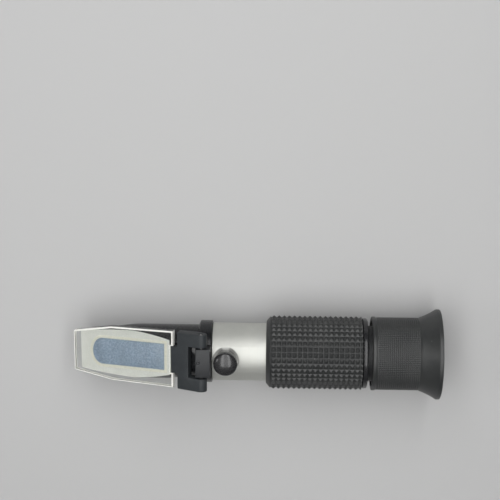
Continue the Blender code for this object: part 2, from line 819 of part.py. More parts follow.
def make_eyepiece(axis):
    """The focusing eyepiece: a tube over the barrel's neck, its two lenses and the rubber eyecup."""
    tube_front = EYECUP_FRONT + EYEPIECE_RECESS
    neck_stop = NECK_REAR + FOCUS_IN + SLIDE_FIT
    stop_rear = neck_stop + LENS_STOP
    lens_radius = LENS_BORE - GLUE
    field_front = stop_rear + GLUE
    field_rear = field_front + FIELD_LENS_THICKNESS
    spacer_front = field_rear - bulge_within(FIELD_LENS_BULGE, lens_radius, LENS_STOP_RADIUS) + GLUE
    spacer_rear = spacer_front + LENS_SPACER_LENGTH
    eye_front = spacer_rear - bulge_within(EYE_LENS_BULGE, lens_radius, LENS_STOP_RADIUS) + GLUE
    eye_rear = eye_front + EYE_LENS_THICKNESS
    ring_front = eye_rear + GLUE
    ring_rear = ring_front + RETAINING_RING_LENGTH
    turned(
        "eyepiece_tube",
        [
            (ring_rear, EYEPIECE_RADIUS),
            (tube_front, EYEPIECE_RADIUS),
            (tube_front, NECK_RADIUS + SLIDE_FIT),
            (neck_stop, NECK_RADIUS + SLIDE_FIT),
            (neck_stop, LENS_STOP_RADIUS),
            (stop_rear, LENS_STOP_RADIUS),
            (stop_rear, LENS_BORE),
            (ring_rear, LENS_BORE),
        ],
        axis,
        BLACK_PLASTIC,
    )
    turned(
        "field_lens",
        lens_profile(field_front, FIELD_LENS_THICKNESS, lens_radius, 0, FIELD_LENS_BULGE),
        axis,
        LENS_GLASS,
        SMALL_SIDES,
    )
    for name, front, rear, opening in (
        ("lens_spacer", spacer_front, spacer_rear, LENS_STOP_RADIUS),
        ("lens_retaining_ring", ring_front, ring_rear, RING_OPENING),
    ):
        turned(
            name,
            [(rear, lens_radius), (front, lens_radius), (front, opening), (rear, opening)],
            axis,
            BLACK_METAL,
            SMALL_SIDES,
        )
    turned(
        "eye_lens",
        lens_profile(eye_front, EYE_LENS_THICKNESS, lens_radius, EYE_LENS_BULGE, 0),
        axis,
        LENS_GLASS,
        SMALL_SIDES,
    )

    bead_rear = EYECUP_FRONT + EYECUP_BEAD
    sleeve_rear = EYECUP_FRONT + SLEEVE_LENGTH
    rim_front = EYECUP_REAR - RIM_LENGTH
    web_front = ring_rear + FIT
    web_rear = web_front + WEB
    sleeve_bore = EYEPIECE_RADIUS + FIT
    flare_middle = sleeve_rear + (rim_front - sleeve_rear) * FLARE_MIDDLE
    flare_radius = SLEEVE_RADIUS + (RIM_RADIUS - SLEEVE_RADIUS) * FLARE_SWELL
    turned(
        "eyecup",
        [
            (EYECUP_REAR, RIM_RADIUS - RIM_EDGE),
            (EYECUP_REAR - RIM_EDGE, RIM_RADIUS),
            (rim_front, RIM_RADIUS),
            (flare_middle, flare_radius),
            (sleeve_rear, SLEEVE_RADIUS),
            (bead_rear, SLEEVE_RADIUS),
            (bead_rear - EYECUP_BEAD_EDGE, BEAD_RADIUS),
            (EYECUP_FRONT + EYECUP_BEAD_EDGE, BEAD_RADIUS),
            (EYECUP_FRONT, BEAD_RADIUS - EYECUP_BEAD_EDGE),
            (EYECUP_FRONT, sleeve_bore),
            (web_front, sleeve_bore),
            (web_front, EYE_OPENING),
            (web_rear, EYE_OPENING),
            (EYECUP_REAR, RIM_RADIUS - RIM_WALL),
        ],
        axis,
        BLACK_RUBBER,
        GRIP_ROWS,
    )


def make_refractometer():
    axis = new_empty("optical_axis", (0, 0, AXIS_HEIGHT))
    face = new_empty("prism_face", (RUNOUT_X, 0, HEAD_RADIUS), axis, FACE_SLOPE)
    hinge = new_empty("flap_hinge", (PIN_X, 0, PIN_HEIGHT), axis, FACE_SLOPE)
    screw_axis = new_empty("calibration_axis", (SCREW_X, 0, 0), axis)
    make_head(axis, face)
    make_prism(axis, face)
    make_hinge(axis)
    make_flap(hinge)
    make_barrel(axis, screw_axis)
    make_grip(axis)
    make_calibration(screw_axis)
    make_lens_carriage(axis)
    make_reticle(axis)
    make_eyepiece(axis)


clear_scene()
PARTS = new_collection("Refractometer")
CUTTERS = new_collection("Cutters")
CUTTERS.hide_render = True

BLACK_METAL = new_material("Black anodised metal", (0.015, 0.016, 0.018), 0.3, 0.6)
SATIN_METAL = new_material("Satin silver metal", (0.62, 0.63, 0.63), 0.35, 1.0)
STEEL = new_material("Steel", (0.6, 0.6, 0.58), 0.25, 1.0)
BRASS = new_material("Brass", (0.6, 0.42, 0.16), 0.3, 1.0)
BLACK_PLASTIC = new_material("Gloss black plastic", (0.012, 0.012, 0.013), 0.2)
DARK_PLASTIC = new_material("Dark grey plastic", (0.045, 0.047, 0.045), 0.5)
CLEAR_PLASTIC = new_material("Clear acrylic", (0.95, 0.97, 0.96), 0.05, 0.0, 1.0)
PRISM_GLASS = new_material("Prism glass", (0.42, 0.5, 0.62), 0.25, 0.0, 0.4)
LENS_GLASS = new_material("Lens glass", (0.9, 0.95, 0.97), 0.02, 0.0, 1.0)
CEMENT = new_material("Cream cement", (0.72, 0.7, 0.6), 0.5)
GRIP_RUBBER = new_material("Grip rubber", (0.032, 0.03, 0.028), 0.6)
BLACK_RUBBER = new_material("Black rubber", (0.02, 0.02, 0.021), 0.45)

make_refractometer()
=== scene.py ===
"""Looks of the handheld refractometer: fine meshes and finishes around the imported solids.

Sizes are millimetres in the frame of the solids: the optical axis along X, the eyecup at +X, the
prism face looking up. MM turns them into Blender's metres.
"""

import json
import math
from contextlib import contextmanager

import bmesh
import bpy
import numpy as np
from mathutils import Matrix, Vector


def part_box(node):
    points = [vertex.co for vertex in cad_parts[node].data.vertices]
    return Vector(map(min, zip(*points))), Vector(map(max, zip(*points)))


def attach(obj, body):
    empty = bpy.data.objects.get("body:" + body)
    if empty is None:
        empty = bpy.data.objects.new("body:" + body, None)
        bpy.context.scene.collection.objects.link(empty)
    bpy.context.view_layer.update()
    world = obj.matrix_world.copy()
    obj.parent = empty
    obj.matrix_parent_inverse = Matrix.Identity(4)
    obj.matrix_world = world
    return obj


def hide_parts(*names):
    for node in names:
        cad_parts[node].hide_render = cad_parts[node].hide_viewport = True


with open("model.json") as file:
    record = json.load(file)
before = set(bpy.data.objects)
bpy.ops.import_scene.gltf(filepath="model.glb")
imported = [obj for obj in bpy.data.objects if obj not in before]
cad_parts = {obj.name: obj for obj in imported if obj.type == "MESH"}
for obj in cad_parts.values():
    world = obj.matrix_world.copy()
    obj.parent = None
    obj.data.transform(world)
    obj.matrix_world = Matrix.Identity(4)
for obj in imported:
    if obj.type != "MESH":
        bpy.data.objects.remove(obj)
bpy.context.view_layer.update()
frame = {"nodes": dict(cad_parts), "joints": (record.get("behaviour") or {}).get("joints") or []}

MM = 0.001


def span(node):
    """Lowest and highest corner of a solid, in millimetres."""
    low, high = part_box(node)
    return low / MM, high / MM


def joint_place(name):
    """Where a joint's axis passes, in millimetres."""
    joint = next(joint for joint in frame["joints"] if joint["name"] == name)
    return Vector(joint["pos_m"]) / MM


# Places that come from the solids
BARREL_FRONT = span("barrel_tube")[0].x
NECK_REAR = span("barrel_tube")[1].x
AXIS_HEIGHT = (span("barrel_tube")[0].z + span("barrel_tube")[1].z) / 2
NOSE_X = span("head_body")[0].x
GRIP_FRONT = span("grip_sleeve")[0].x
GRIP_REAR = span("grip_sleeve")[1].x
RING_FRONT = span("rear_ring")[0].x
RING_REAR = span("rear_ring")[1].x
EYECUP_FRONT = span("eyecup")[0].x
EYECUP_REAR = span("eyecup")[1].x
PIN = joint_place("flap_hinge")
SCREW_X = joint_place("calibration_turn").x

# Clearances of the solids
FIT = 0.3
SLIDE_FIT = 0.4
GLUE = 0.15

# Facets
SIDES = 144
SMALL_SIDES = 72
CORNER_STEPS = 4

# Roundings that several pieces share
HAIR_EDGE = 0.1
FINE_EDGE = 0.15
SMALL_EDGE = 0.2
PLAIN_EDGE = 0.3
SOFT_EDGE = 0.4

# Prism head
HEAD_RADIUS = 12.0
COLLAR_RADIUS = 14.0
COLLAR_LENGTH = 5.5
COLLAR_CONE = 1.0
COLLAR_EDGE = 0.45
NOSE_RADIUS = 8.9
NOSE_TAPER = 24.6
NOSE_EDGE = 0.7
TAPER_BLEND = 3.0
FACE_SLOPE = 14.6
SPIGOT_RADIUS = 10.3
SPIGOT_LENGTH = 3.6
LIGHT_BORE = 6.5
PRISM_WIDTH = 12.2
PRISM_LENGTH = 34.1
PRISM_END = 4.6
PRISM_SETBACK = 15.1
PRISM_FLOOR = -5.0
PRISM_EDGE = 0.15
BEAD_WIDTH = 1.2
BEAD_DEPTH = 1.0
BEAD_CROWN = 0.1
BEAD_GAP = GLUE / 3

# The bead's crown from inside to outside, as shares of its width and of its height
BEAD_SECTION = ((0.0, 0.0), (0.12, 0.7), (0.35, 1.0), (0.65, 1.0), (0.88, 0.7), (1.0, 0.0))

# Hinge
PIN_RADIUS = 0.75
PIN_RUN = 0.2
BLOCK_FRONT = 2.5
BLOCK_REAR = 4.0
BLOCK_WIDTH = 13.0
BLOCK_TOP = 18.2
BLOCK_EDGE = 0.3
MARK_RADIUS = 0.65
MARK_WIDTH = 0.4
MARK_DEPTH = 0.4
MARK_PLACE = (1.2, 0.3)

# Daylight plate and its bracket, along the slope from the pin
PLATE_REACH = 60.5
PLATE_THICKNESS = 3.5
PLATE_GAP = 0.3
PLATE_NOSE_WIDTH = 19.0
PLATE_SHOULDER = 18.2
PLATE_SHOULDER_INSET = 0.5
PLATE_CORNER = 0.9
PLATE_CORNER_ANGLE = 105.0
PLATE_CORNER_STEPS = 6
PLATE_EDGE = 0.6
HORN_GAP = 2.3
BRACKET_WIDTH = 26.2
BRACKET_LENGTH = 10.9
TONGUE_LENGTH = 3.2
TONGUE_WIDTH = 12.2
SLOT_GAP = 0.7
SLOT_DEPTH = 5.5
BOSS_RADIUS = 2.6
BOSS_STEPS = 32
BRACKET_EDGE = 0.3

# Barrel
BARREL_RADIUS = 13.0
BARREL_BORE = 10.6
BARREL_EDGE = 0.3
NECK_RADIUS = 12.5
THREAD_PITCH = 0.6
THREAD_DEPTH = 0.16
THREAD_EDGE = 0.08
THREAD_EDGE_STEPS = 2
SPOT_RADIUS = 5.9
SPOT_HEIGHT = 11.7

# Grip, whose pyramids stand in rows and columns: the lines of a cell lie at shares of its pitch
GRIP_ROWS = 40
GRIP_COLUMNS = 17.5
GRIP_CELL_LINES = (0.05, 0.465, 0.535, 0.95)
GRIP_RADIUS = 16.5
PYRAMID_HEIGHT = 0.7
GRIP_LIP = 2.2
GRIP_LIP_STEP = 0.4
GRIP_LIP_RADIUS = 16.1
GRIP_LIP_EDGE = 0.25
GRIP_NOSE_RADIUS = 14.0

# Ring behind the grip
RING_RADIUS = 15.8
RING_EDGE = 0.7

# Calibration screw, bush and cap
BUSH_RADIUS = 2.6
BUSH_FLANGE_RADIUS = 3.7
BUSH_FLANGE = 1.0
BUSH_LENGTH = 2.2
SCREW_HEAD_RADIUS = 2.0
SCREW_HEAD = 1.6
SCREW_RADIUS = 1.2
SCREW_SLOT = 0.6
SCREW_SLOT_DEPTH = 0.8
SCREW_END = 5.5
CAP_FOOT_RADIUS = 4.6
CAP_RADIUS = 5.3
CAP_FLARE = 4.2
CAP_FLARE_EDGE = 0.6
CAP_WALL = 2.0
CAP_DOME = 2.0
CAP_DOME_STEPS = 16
CAP_POCKET = 4.0

# Eyepiece and eyecup, whose flare has risen by the share FLARE_SWELL halfway along
EYEPIECE_RADIUS = 14.6
EYEPIECE_RECESS = 0.5
FOCUS_IN = 1.5
LENS_BORE = 9.6
LENS_STOP_RADIUS = 8.4
LENS_STOP = 1.2
LENS_RING_OPENING = 8.2
LENS_RING_NOTCH = 1.0
FIELD_LENS_BULGE = 1.1
EYE_LENS_BULGE = 1.2
SLEEVE_RADIUS = 16.3
SLEEVE_LENGTH = 21.0
EYECUP_BEAD_RADIUS = 16.6
EYECUP_BEAD = 1.7
EYECUP_BEAD_EDGE = 0.5
GRID_PITCH = 0.9
GRID_STEPS = 3
GRID_DEPTH = 0.14
FLARE_SWELL = 0.42
FLARE_STEPS = 13
RIM_RADIUS = AXIS_HEIGHT
RIM_LENGTH = 1.6
RIM_WALL = 1.9
RIM_EDGE = 0.35
WEB = 1.2
EYE_OPENING = 9.2

# Places that follow
SLOPE = math.radians(FACE_SLOPE)
RUNOUT_X = BARREL_FRONT - COLLAR_LENGTH - COLLAR_CONE
PIN_HEIGHT = PIN.z - AXIS_HEIGHT
BRIGHT_REAR = PIN.x - BRACKET_LENGTH - TONGUE_LENGTH
FACE_BELOW_PIN = (PIN_HEIGHT - HEAD_RADIUS) * math.cos(SLOPE) + (RUNOUT_X - PIN.x) * math.sin(SLOPE)
PLATE_TOP = PLATE_GAP + PLATE_THICKNESS - FACE_BELOW_PIN

# Frames that pieces are made in
AXIS = Matrix.Translation((0, 0, AXIS_HEIGHT * MM))
FACE = AXIS @ Matrix.Translation((RUNOUT_X * MM, 0, HEAD_RADIUS * MM)) @ Matrix.Rotation(-SLOPE, 4, "Y")
HINGE = Matrix.Translation(PIN * MM) @ Matrix.Rotation(-SLOPE, 4, "Y")
SCREW = AXIS @ Matrix.Translation((SCREW_X * MM, 0, 0))
UPRIGHT = Matrix.Rotation(-math.pi / 2, 4, "Y")
ACROSS = Matrix.Rotation(math.pi / 2, 4, "Z")

# How far cutters reach: just past a surface, or past the whole piece
BEYOND = 1.0
FAR = 60.0

# Angles from which edges are shaded sharp, and from which soften rounds them
SHARP_ANGLE = math.radians(32)
CREASE_ANGLE = math.radians(15)
ROUNDED_ANGLE = math.radians(40)

# Cosines that tell which way a face looks
ALIGNED = 0.999
NEARLY_ALIGNED = 0.97
MOSTLY_ALIGNED = 0.9
NEARLY_SQUARE = 0.2

# Tolerances
FLATNESS = 0.01
WELD = 0.001
EDGE_WELD = 0.01


# Meshes


def new_object(name, mesh):
    """A mesh as an object in the scene."""
    obj = bpy.data.objects.new(name, mesh)
    bpy.context.scene.collection.objects.link(obj)
    return obj


@contextmanager
def editing(mesh):
    """Opens a mesh for editing, and writes it back afterwards."""
    shape = bmesh.new()
    shape.from_mesh(mesh)
    yield shape
    shape.to_mesh(mesh)
    shape.free()


def mesh_from(name, points, faces, place):
    """A mesh of points in millimetres, moved to a frame, with its normals outwards."""
    mesh = bpy.data.meshes.new(name)
    mesh.from_pydata([tuple(point) for point in np.asarray(points) * MM], [], faces)
    with editing(mesh) as shape:
        bmesh.ops.remove_doubles(shape, verts=shape.verts, dist=WELD * MM)
        bmesh.ops.recalc_face_normals(shape, faces=shape.faces)
        bmesh.ops.transform(shape, matrix=place, verts=shape.verts)
    return mesh


def rounded(corners, steps=CORNER_STEPS):
    """Turns corners of (place, radius, rounding) into points. A rounding is cut back along both sides."""
    points = []
    count = len(corners)
    for index, (place, radius, rounding) in enumerate(corners):
        here = np.array((place, radius), float)
        if not rounding:
            points.append(here)
            continue
        ends = []
        for other in (corners[index - 1], corners[(index + 1) % count]):
            run = np.array(other[:2], float) - here
            length = np.linalg.norm(run)
            ends.append(here + run / length * min(rounding, length / 2))
        for step in range(steps + 1):
            share = step / steps
            points.append((1 - share) ** 2 * ends[0] + 2 * share * (1 - share) * here + share**2 * ends[1])
    return points


def skin_faces(rows, sides, closed=True):
    """Quads between rows of points that each run round. The last row may join the first."""
    faces = []
    for row in range(rows if closed else rows - 1):
        here, there = row * sides, (row + 1) % rows * sides
        for side in range(sides):
            following = (side + 1) % sides
            faces.append((here + side, here + following, there + following, there + side))
    return faces


def even_rows(points, sides):
    """A row of equal radii for each (place, radius) of a profile."""
    return np.repeat([[radius] for _, radius in points], sides, axis=1)


def turned_mesh(name, places, radii, place, turns=None):
    """A closed skin round the X axis of a frame: one row of radii a place, one column an angle.

    The angles are shares of a turn from straight down, even ones if none are given. The last row joins
    the first.
    """
    rows, sides = radii.shape
    if turns is None:
        turns = np.arange(sides) / sides
    angles = turns * math.tau - math.pi / 2
    along = np.repeat(np.asarray(places, float), sides)
    points = np.stack([along, (radii * np.cos(angles)).ravel(), (radii * np.sin(angles)).ravel()], axis=1)
    return mesh_from(name, points, skin_faces(rows, sides), place)


def turned(name, corners, place=AXIS, sides=SIDES, steps=CORNER_STEPS):
    """Turns rounded corners of (place, radius, rounding) round the X axis of a frame."""
    points = rounded(corners, steps)
    places = [along for along, _ in points]
    return new_object(name, turned_mesh(name, places, even_rows(points, sides), place))


def rod(name, low, high, radius, place, edge=0.0, sides=SMALL_SIDES):
    """A round bar along the X axis of a frame."""
    return turned(name, [(low, 0, 0), (low, radius, edge), (high, radius, edge), (high, 0, 0)], place, sides)


def box(name, low, high, place):
    """A block between two corners in a frame."""
    corners = [(x, y, z) for x in (low[0], high[0]) for y in (low[1], high[1]) for z in (low[2], high[2])]
    faces = [(0, 1, 3, 2), (4, 6, 7, 5), (0, 4, 5, 1), (2, 3, 7, 6), (0, 2, 6, 4), (1, 5, 7, 3)]
    return new_object(name, mesh_from(name, corners, faces, place))


def slab(name, outline, top, depth, place):
    """An outline in the XY plane of a frame, from top down by depth."""
    count = len(outline)
    points = [(x, y, top) for x, y in outline] + [(x, y, top - depth) for x, y in outline]
    ends = [tuple(range(count)), tuple(range(2 * count - 1, count - 1, -1))]
    return new_object(name, mesh_from(name, points, ends + skin_faces(2, count, False), place))


def inset(outline, distance):
    """An outline that runs anticlockwise, moved inwards with its corners kept sharp."""
    points = np.array(outline, float)
    runs = np.roll(points, -1, axis=0) - points
    runs /= np.linalg.norm(runs, axis=1)[:, None]
    inward = np.stack([-runs[:, 1], runs[:, 0]], axis=1)
    before = np.roll(inward, 1, axis=0)
    share = 1 + np.sum(before * inward, axis=1)[:, None]
    return points + distance * (before + inward) / share


def eased_slab(name, outline, top, depth, edge, place, steps=2):
    """A slab with its upper and lower edges rounded. Its outline runs anticlockwise."""
    turns = np.linspace(0, math.pi / 2, steps + 1)
    rows = [(edge * (1 - math.sin(turn)), edge * (1 - math.cos(turn))) for turn in turns]
    rows += [(shift, depth - drop) for shift, drop in reversed(rows)]
    points = [(x, y, top - drop) for shift, drop in rows for x, y in inset(outline, shift)]
    count = len(outline)
    ends = [tuple(range(count)), tuple(range(len(points) - count, len(points)))]
    return new_object(name, mesh_from(name, points, skin_faces(len(rows), count, False) + ends, place))


def apply_modifiers(obj):
    """Puts what an object's modifiers make in the place of its mesh."""
    graph = bpy.context.evaluated_depsgraph_get()
    mesh = bpy.data.meshes.new_from_object(obj.evaluated_get(graph))
    obj.modifiers.clear()
    obj.data = mesh


def carve(obj, *cutters):
    """Cuts one body with others, which are then removed, and clears up the cut."""
    for cutter in cutters:
        boolean = obj.modifiers.new(cutter.name, "BOOLEAN")
        boolean.object = cutter
        boolean.operation = "DIFFERENCE"
    apply_modifiers(obj)
    for cutter in cutters:
        bpy.data.objects.remove(cutter)
    with editing(obj.data) as shape:
        bmesh.ops.remove_doubles(shape, verts=shape.verts, dist=WELD * MM)
        bmesh.ops.dissolve_degenerate(shape, edges=shape.edges, dist=WELD * MM)


def soften(obj, width, segments=2):
    """Rounds the sharp edges of a body."""
    weld = obj.modifiers.new("Weld", "WELD")
    weld.merge_threshold = EDGE_WELD * MM
    edges = obj.modifiers.new("Edges", "BEVEL")
    edges.width = width * MM
    edges.segments = segments
    edges.limit_method = "ANGLE"
    edges.angle_limit = ROUNDED_ANGLE
    apply_modifiers(obj)


def crease_ridges(obj):
    """Splits bent quads along their longer diagonals, which are the ridges of the pyramids."""

    def is_bent(face):
        side = face.verts[1].co - face.verts[0].co
        return len(face.verts) == 4 and abs(face.normal.dot(side)) > FLATNESS * MM

    with editing(obj.data) as shape:
        bent = [face for face in shape.faces if is_bent(face)]
        bmesh.ops.triangulate(shape, faces=bent, quad_method="LONG_EDGE")


def divide(obj, place):
    """Splits the faces of a body at a place along X, so that each side can have its own finish."""
    with editing(obj.data) as shape:
        geometry = [*shape.verts, *shape.edges, *shape.faces]
        bmesh.ops.bisect_plane(shape, geom=geometry, plane_co=(place * MM, 0, 0), plane_no=(1, 0, 0))


def arc(centre, radius, start, end, steps):
    """Points round a centre from one angle to another, in degrees."""
    angles = np.radians(np.linspace(start, end, steps + 1))
    return [(centre[0] + radius * math.cos(a), centre[1] + radius * math.sin(a)) for a in angles]


def window_outline(grow, steps=40):
    """The prism's window in the face: an oval front end and a straight rear end, grown all round."""
    end, side = PRISM_END + grow, PRISM_WIDTH / 2 + grow
    rear = -PRISM_SETBACK + grow
    centre = -PRISM_SETBACK - PRISM_LENGTH + PRISM_END
    turns = np.radians(np.linspace(90, 270, steps + 1))
    return [(centre + end * math.cos(a), side * math.sin(a)) for a in turns] + [(rear, -side), (rear, side)]


def finish_piece(obj, body, materials, replaced, choose=None, sharp=SHARP_ANGLE):
    """Shades a piece, gives it its materials, and lets it ride on a body in the place of its solids.

    choose takes a face's centre in millimetres and its normal, and gives the number of its material.
    """
    mesh = obj.data
    mesh.materials.clear()
    for material in materials:
        mesh.materials.append(material)
    mesh.shade_smooth()
    mesh.set_sharp_from_angle(angle=sharp)
    for face in mesh.polygons:
        face.material_index = choose(face.center / MM, face.normal) if choose else 0
    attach(obj, body)
    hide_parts(*replaced)


# Finishes

# Sockets of a mix node that are for colours
MIX_SHARE = 0
MIX_FIRST = 6
MIX_SECOND = 7
MIX_RESULT = 2


class Finish:
    """A Principled material that is built up from textures in millimetres of its piece."""

    def __init__(self, name, colour, roughness, **values):
        self.material = bpy.data.materials.new(name)
        self.material.use_nodes = True
        self.tree = self.material.node_tree
        self.shader = self.tree.nodes["Principled BSDF"]
        self.shader.inputs["Base Color"].default_value = (*colour, 1)
        self.shader.inputs["Roughness"].default_value = roughness
        for socket, value in values.items():
            self.shader.inputs[socket.replace("_", " ")].default_value = value
        self.normal = None

    def node(self, kind, **settings):
        """Adds a node."""
        node = self.tree.nodes.new(kind)
        for key, value in settings.items():
            setattr(node, key, value)
        return node

    def link(self, source, node, socket):
        """Feeds an output to a node's socket."""
        self.tree.links.new(source, node.inputs[socket])

    def place(self, stretch=(1, 1, 1)):
        """Millimetres of the piece, stretched by a share along each axis."""
        coordinates = self.node("ShaderNodeTexCoord")
        mapping = self.node("ShaderNodeMapping")
        mapping.inputs["Scale"].default_value = [share / MM for share in stretch]
        self.link(coordinates.outputs["Object"], mapping, "Vector")
        return mapping.outputs["Vector"]

    def noise(self, scale, detail=3.0, stretch=(1, 1, 1), roughness=0.5):
        """Clouded values about one half, with the scale in waves a millimetre."""
        texture = self.node("ShaderNodeTexNoise")
        texture.inputs["Scale"].default_value = scale
        texture.inputs["Detail"].default_value = detail
        texture.inputs["Roughness"].default_value = roughness
        self.link(self.place(stretch), texture, "Vector")
        return texture.outputs["Fac"]

    def specks(self, scale, size):
        """Small round spots, 1 in the middle of each and 0 between them."""
        texture = self.node("ShaderNodeTexVoronoi")
        texture.inputs["Scale"].default_value = scale
        self.link(self.place(), texture, "Vector")
        return self.range(texture.outputs["Distance"], size, 0, 0, 1)

    def range(self, value, low, high, to_low, to_high):
        """Maps values between two numbers to two others."""
        mapped = self.node("ShaderNodeMapRange")
        for socket, number in zip(("From Min", "From Max", "To Min", "To Max"), (low, high, to_low, to_high)):
            mapped.inputs[socket].default_value = number
        self.link(value, mapped, "Value")
        return mapped.outputs["Result"]

    def edges(self, radius):
        """1 on edges that stick out or in, and 0 on plain surface."""
        bevel = self.node("ShaderNodeBevel", samples=4)
        bevel.inputs["Radius"].default_value = radius * MM
        geometry = self.node("ShaderNodeNewGeometry")
        angle = self.node("ShaderNodeVectorMath", operation="DOT_PRODUCT")
        self.link(bevel.outputs["Normal"], angle, 0)
        self.link(geometry.outputs["Normal"], angle, 1)
        return self.range(angle.outputs["Value"], ALIGNED, MOSTLY_ALIGNED, 0, 1)

    def ramp(self, value, *stops):
        """Colours at places from 0 to 1."""
        ramp = self.node("ShaderNodeValToRGB")
        elements = ramp.color_ramp.elements
        while len(elements) < len(stops):
            elements.new(0.5)
        for element, (position, colour) in zip(elements, stops):
            element.position = position
            element.color = (*colour, 1)
        self.link(value, ramp, "Fac")
        return ramp.outputs["Color"]

    def mix(self, share, first, second):
        """Goes from a first colour to a second by a share. Either may be a plain colour."""
        mixed = self.node("ShaderNodeMix", data_type="RGBA")
        self.link(share, mixed, MIX_SHARE)
        for socket, colour in ((MIX_FIRST, first), (MIX_SECOND, second)):
            if isinstance(colour, tuple):
                mixed.inputs[socket].default_value = (*colour, 1)
            else:
                self.link(colour, mixed, socket)
        return mixed.outputs[MIX_RESULT]

    def colour(self, source):
        """Takes the base colour from an output."""
        self.link(source, self.shader, "Base Color")

    def rough(self, source):
        """Takes the roughness from an output."""
        self.link(source, self.shader, "Roughness")

    def bump(self, height, distance, strength=1.0):
        """Adds relief of a depth in millimetres."""
        bump = self.node("ShaderNodeBump")
        bump.inputs["Strength"].default_value = strength
        bump.inputs["Distance"].default_value = distance * MM
        self.link(height, bump, "Height")
        if self.normal is not None:
            self.link(self.normal, bump, "Normal")
        self.normal = bump.outputs["Normal"]
        self.link(self.normal, self.shader, "Normal")


def black_enamel():
    """Gloss black coat on metal, a little worn at its edges."""
    finish = Finish("black_enamel", (0.008, 0.0085, 0.01), 0.34, Specular_IOR_Level=0.4)
    cloud = finish.noise(0.25, 4)
    base = finish.ramp(cloud, (0.3, (0.006, 0.0065, 0.008)), (0.7, (0.011, 0.0115, 0.013)))
    finish.colour(finish.mix(finish.edges(0.25), base, (0.05, 0.051, 0.052)))
    finish.rough(finish.range(finish.noise(1.6, 3), 0.3, 0.7, 0.18, 0.3))
    finish.bump(finish.noise(9, 2), 0.004, 0.4)
    return finish.material


def milled_face():
    """The bright slanted face: a pale satin finish with fine milling lines across it."""
    finish = Finish("milled_face", (0.88, 0.885, 0.83), 0.52, Specular_IOR_Level=0.3)
    lines = finish.noise(7, 2, (1, 0.04, 0.04))
    cloud = finish.noise(0.22, 3)
    base = finish.ramp(cloud, (0.3, (0.84, 0.845, 0.79)), (0.7, (0.92, 0.925, 0.88)))
    finish.colour(finish.mix(finish.range(lines, 0.45, 0.75, 0, 0.25), base, (0.72, 0.73, 0.69)))
    finish.rough(finish.range(lines, 0.3, 0.7, 0.45, 0.6))
    finish.bump(lines, 0.006, 0.5)
    return finish.material


def prism_glass():
    """Ground blue-grey glass, finely mottled, with faint streaks."""
    finish = Finish("prism_glass", (0.26, 0.335, 0.425), 0.35, Coat_Weight=0.3, Coat_Roughness=0.1)
    grain = finish.noise(1.4, 4, (1, 1, 1), 0.65)
    base = finish.ramp(
        grain,
        (0.37, (0.24, 0.325, 0.435)),
        (0.5, (0.318, 0.414, 0.54)),
        (0.63, (0.396, 0.503, 0.645)),
    )
    cloud = finish.noise(0.16, 3, (1, 1.6, 1.6))
    clouded = finish.mix(finish.range(cloud, 0.45, 0.75, 0, 0.45), base, (0.25, 0.315, 0.4))
    streaks = finish.noise(0.5, 3, (1, 0.16, 0.16))
    finish.colour(finish.mix(finish.range(streaks, 0.5, 0.75, 0, 0.3), clouded, (0.15, 0.2, 0.28)))
    finish.bump(grain, 0.012, 0.5)
    return finish.material


def cream_cement():
    """Cream cement, a little uneven."""
    finish = Finish("cream_cement", (0.84, 0.83, 0.73), 0.5)
    finish.colour(finish.ramp(finish.noise(0.9, 4), (0.3, (0.86, 0.85, 0.74)), (0.7, (0.95, 0.94, 0.83))))
    finish.rough(finish.range(finish.noise(2.5, 3), 0.3, 0.7, 0.38, 0.6))
    finish.bump(finish.noise(1.4, 3), 0.05, 0.5)
    return finish.material


def clear_acrylic():
    """Polished clear plastic, with the faint haze of use."""
    finish = Finish("clear_acrylic", (0.97, 0.98, 0.965), 0.02, Transmission_Weight=1.0, IOR=1.49)
    finish.rough(finish.range(finish.noise(0.5, 4), 0.4, 0.8, 0.0, 0.02))
    finish.bump(finish.noise(0.09, 2), 0.01, 0.1)
    return finish.material


def frosted_edge():
    """The plate's frosted edges, which scatter the light that runs in the plate."""
    finish = Finish("frosted_edge", (0.95, 0.945, 0.9), 0.6, Transmission_Weight=0.1, IOR=1.49)
    grain = finish.noise(2.2, 4, (0.3, 1, 1))
    finish.colour(finish.ramp(grain, (0.3, (0.91, 0.905, 0.85)), (0.7, (0.98, 0.975, 0.93))))
    finish.rough(finish.range(grain, 0.3, 0.7, 0.45, 0.7))
    finish.bump(grain, 0.03, 0.5)
    return finish.material


def bracket_plastic():
    """Matte dark grey plastic with a fine moulded grain."""
    finish = Finish("bracket_plastic", (0.026, 0.03, 0.033), 0.55, Specular_IOR_Level=0.4)
    cloud = finish.noise(0.35, 4)
    base = finish.ramp(cloud, (0.3, (0.022, 0.026, 0.029)), (0.7, (0.03, 0.034, 0.037)))
    finish.colour(finish.mix(finish.edges(0.2), base, (0.06, 0.065, 0.066)))
    grain = finish.noise(5, 3)
    finish.rough(finish.range(grain, 0.3, 0.7, 0.48, 0.66))
    finish.bump(grain, 0.02, 0.5)
    return finish.material


def block_metal():
    """Dark anodised metal of the hinge block, with brushed streaks."""
    finish = Finish("block_metal", (0.016, 0.018, 0.02), 0.42, Specular_IOR_Level=0.4)
    streaks = finish.noise(1.6, 4, (0.15, 1, 1))
    base = finish.ramp(streaks, (0.3, (0.011, 0.0125, 0.0145)), (0.7, (0.021, 0.0225, 0.025)))
    finish.colour(finish.mix(finish.edges(0.25), base, (0.1, 0.105, 0.11)))
    finish.rough(finish.range(streaks, 0.3, 0.7, 0.3, 0.46))
    finish.bump(streaks, 0.008, 0.4)
    return finish.material


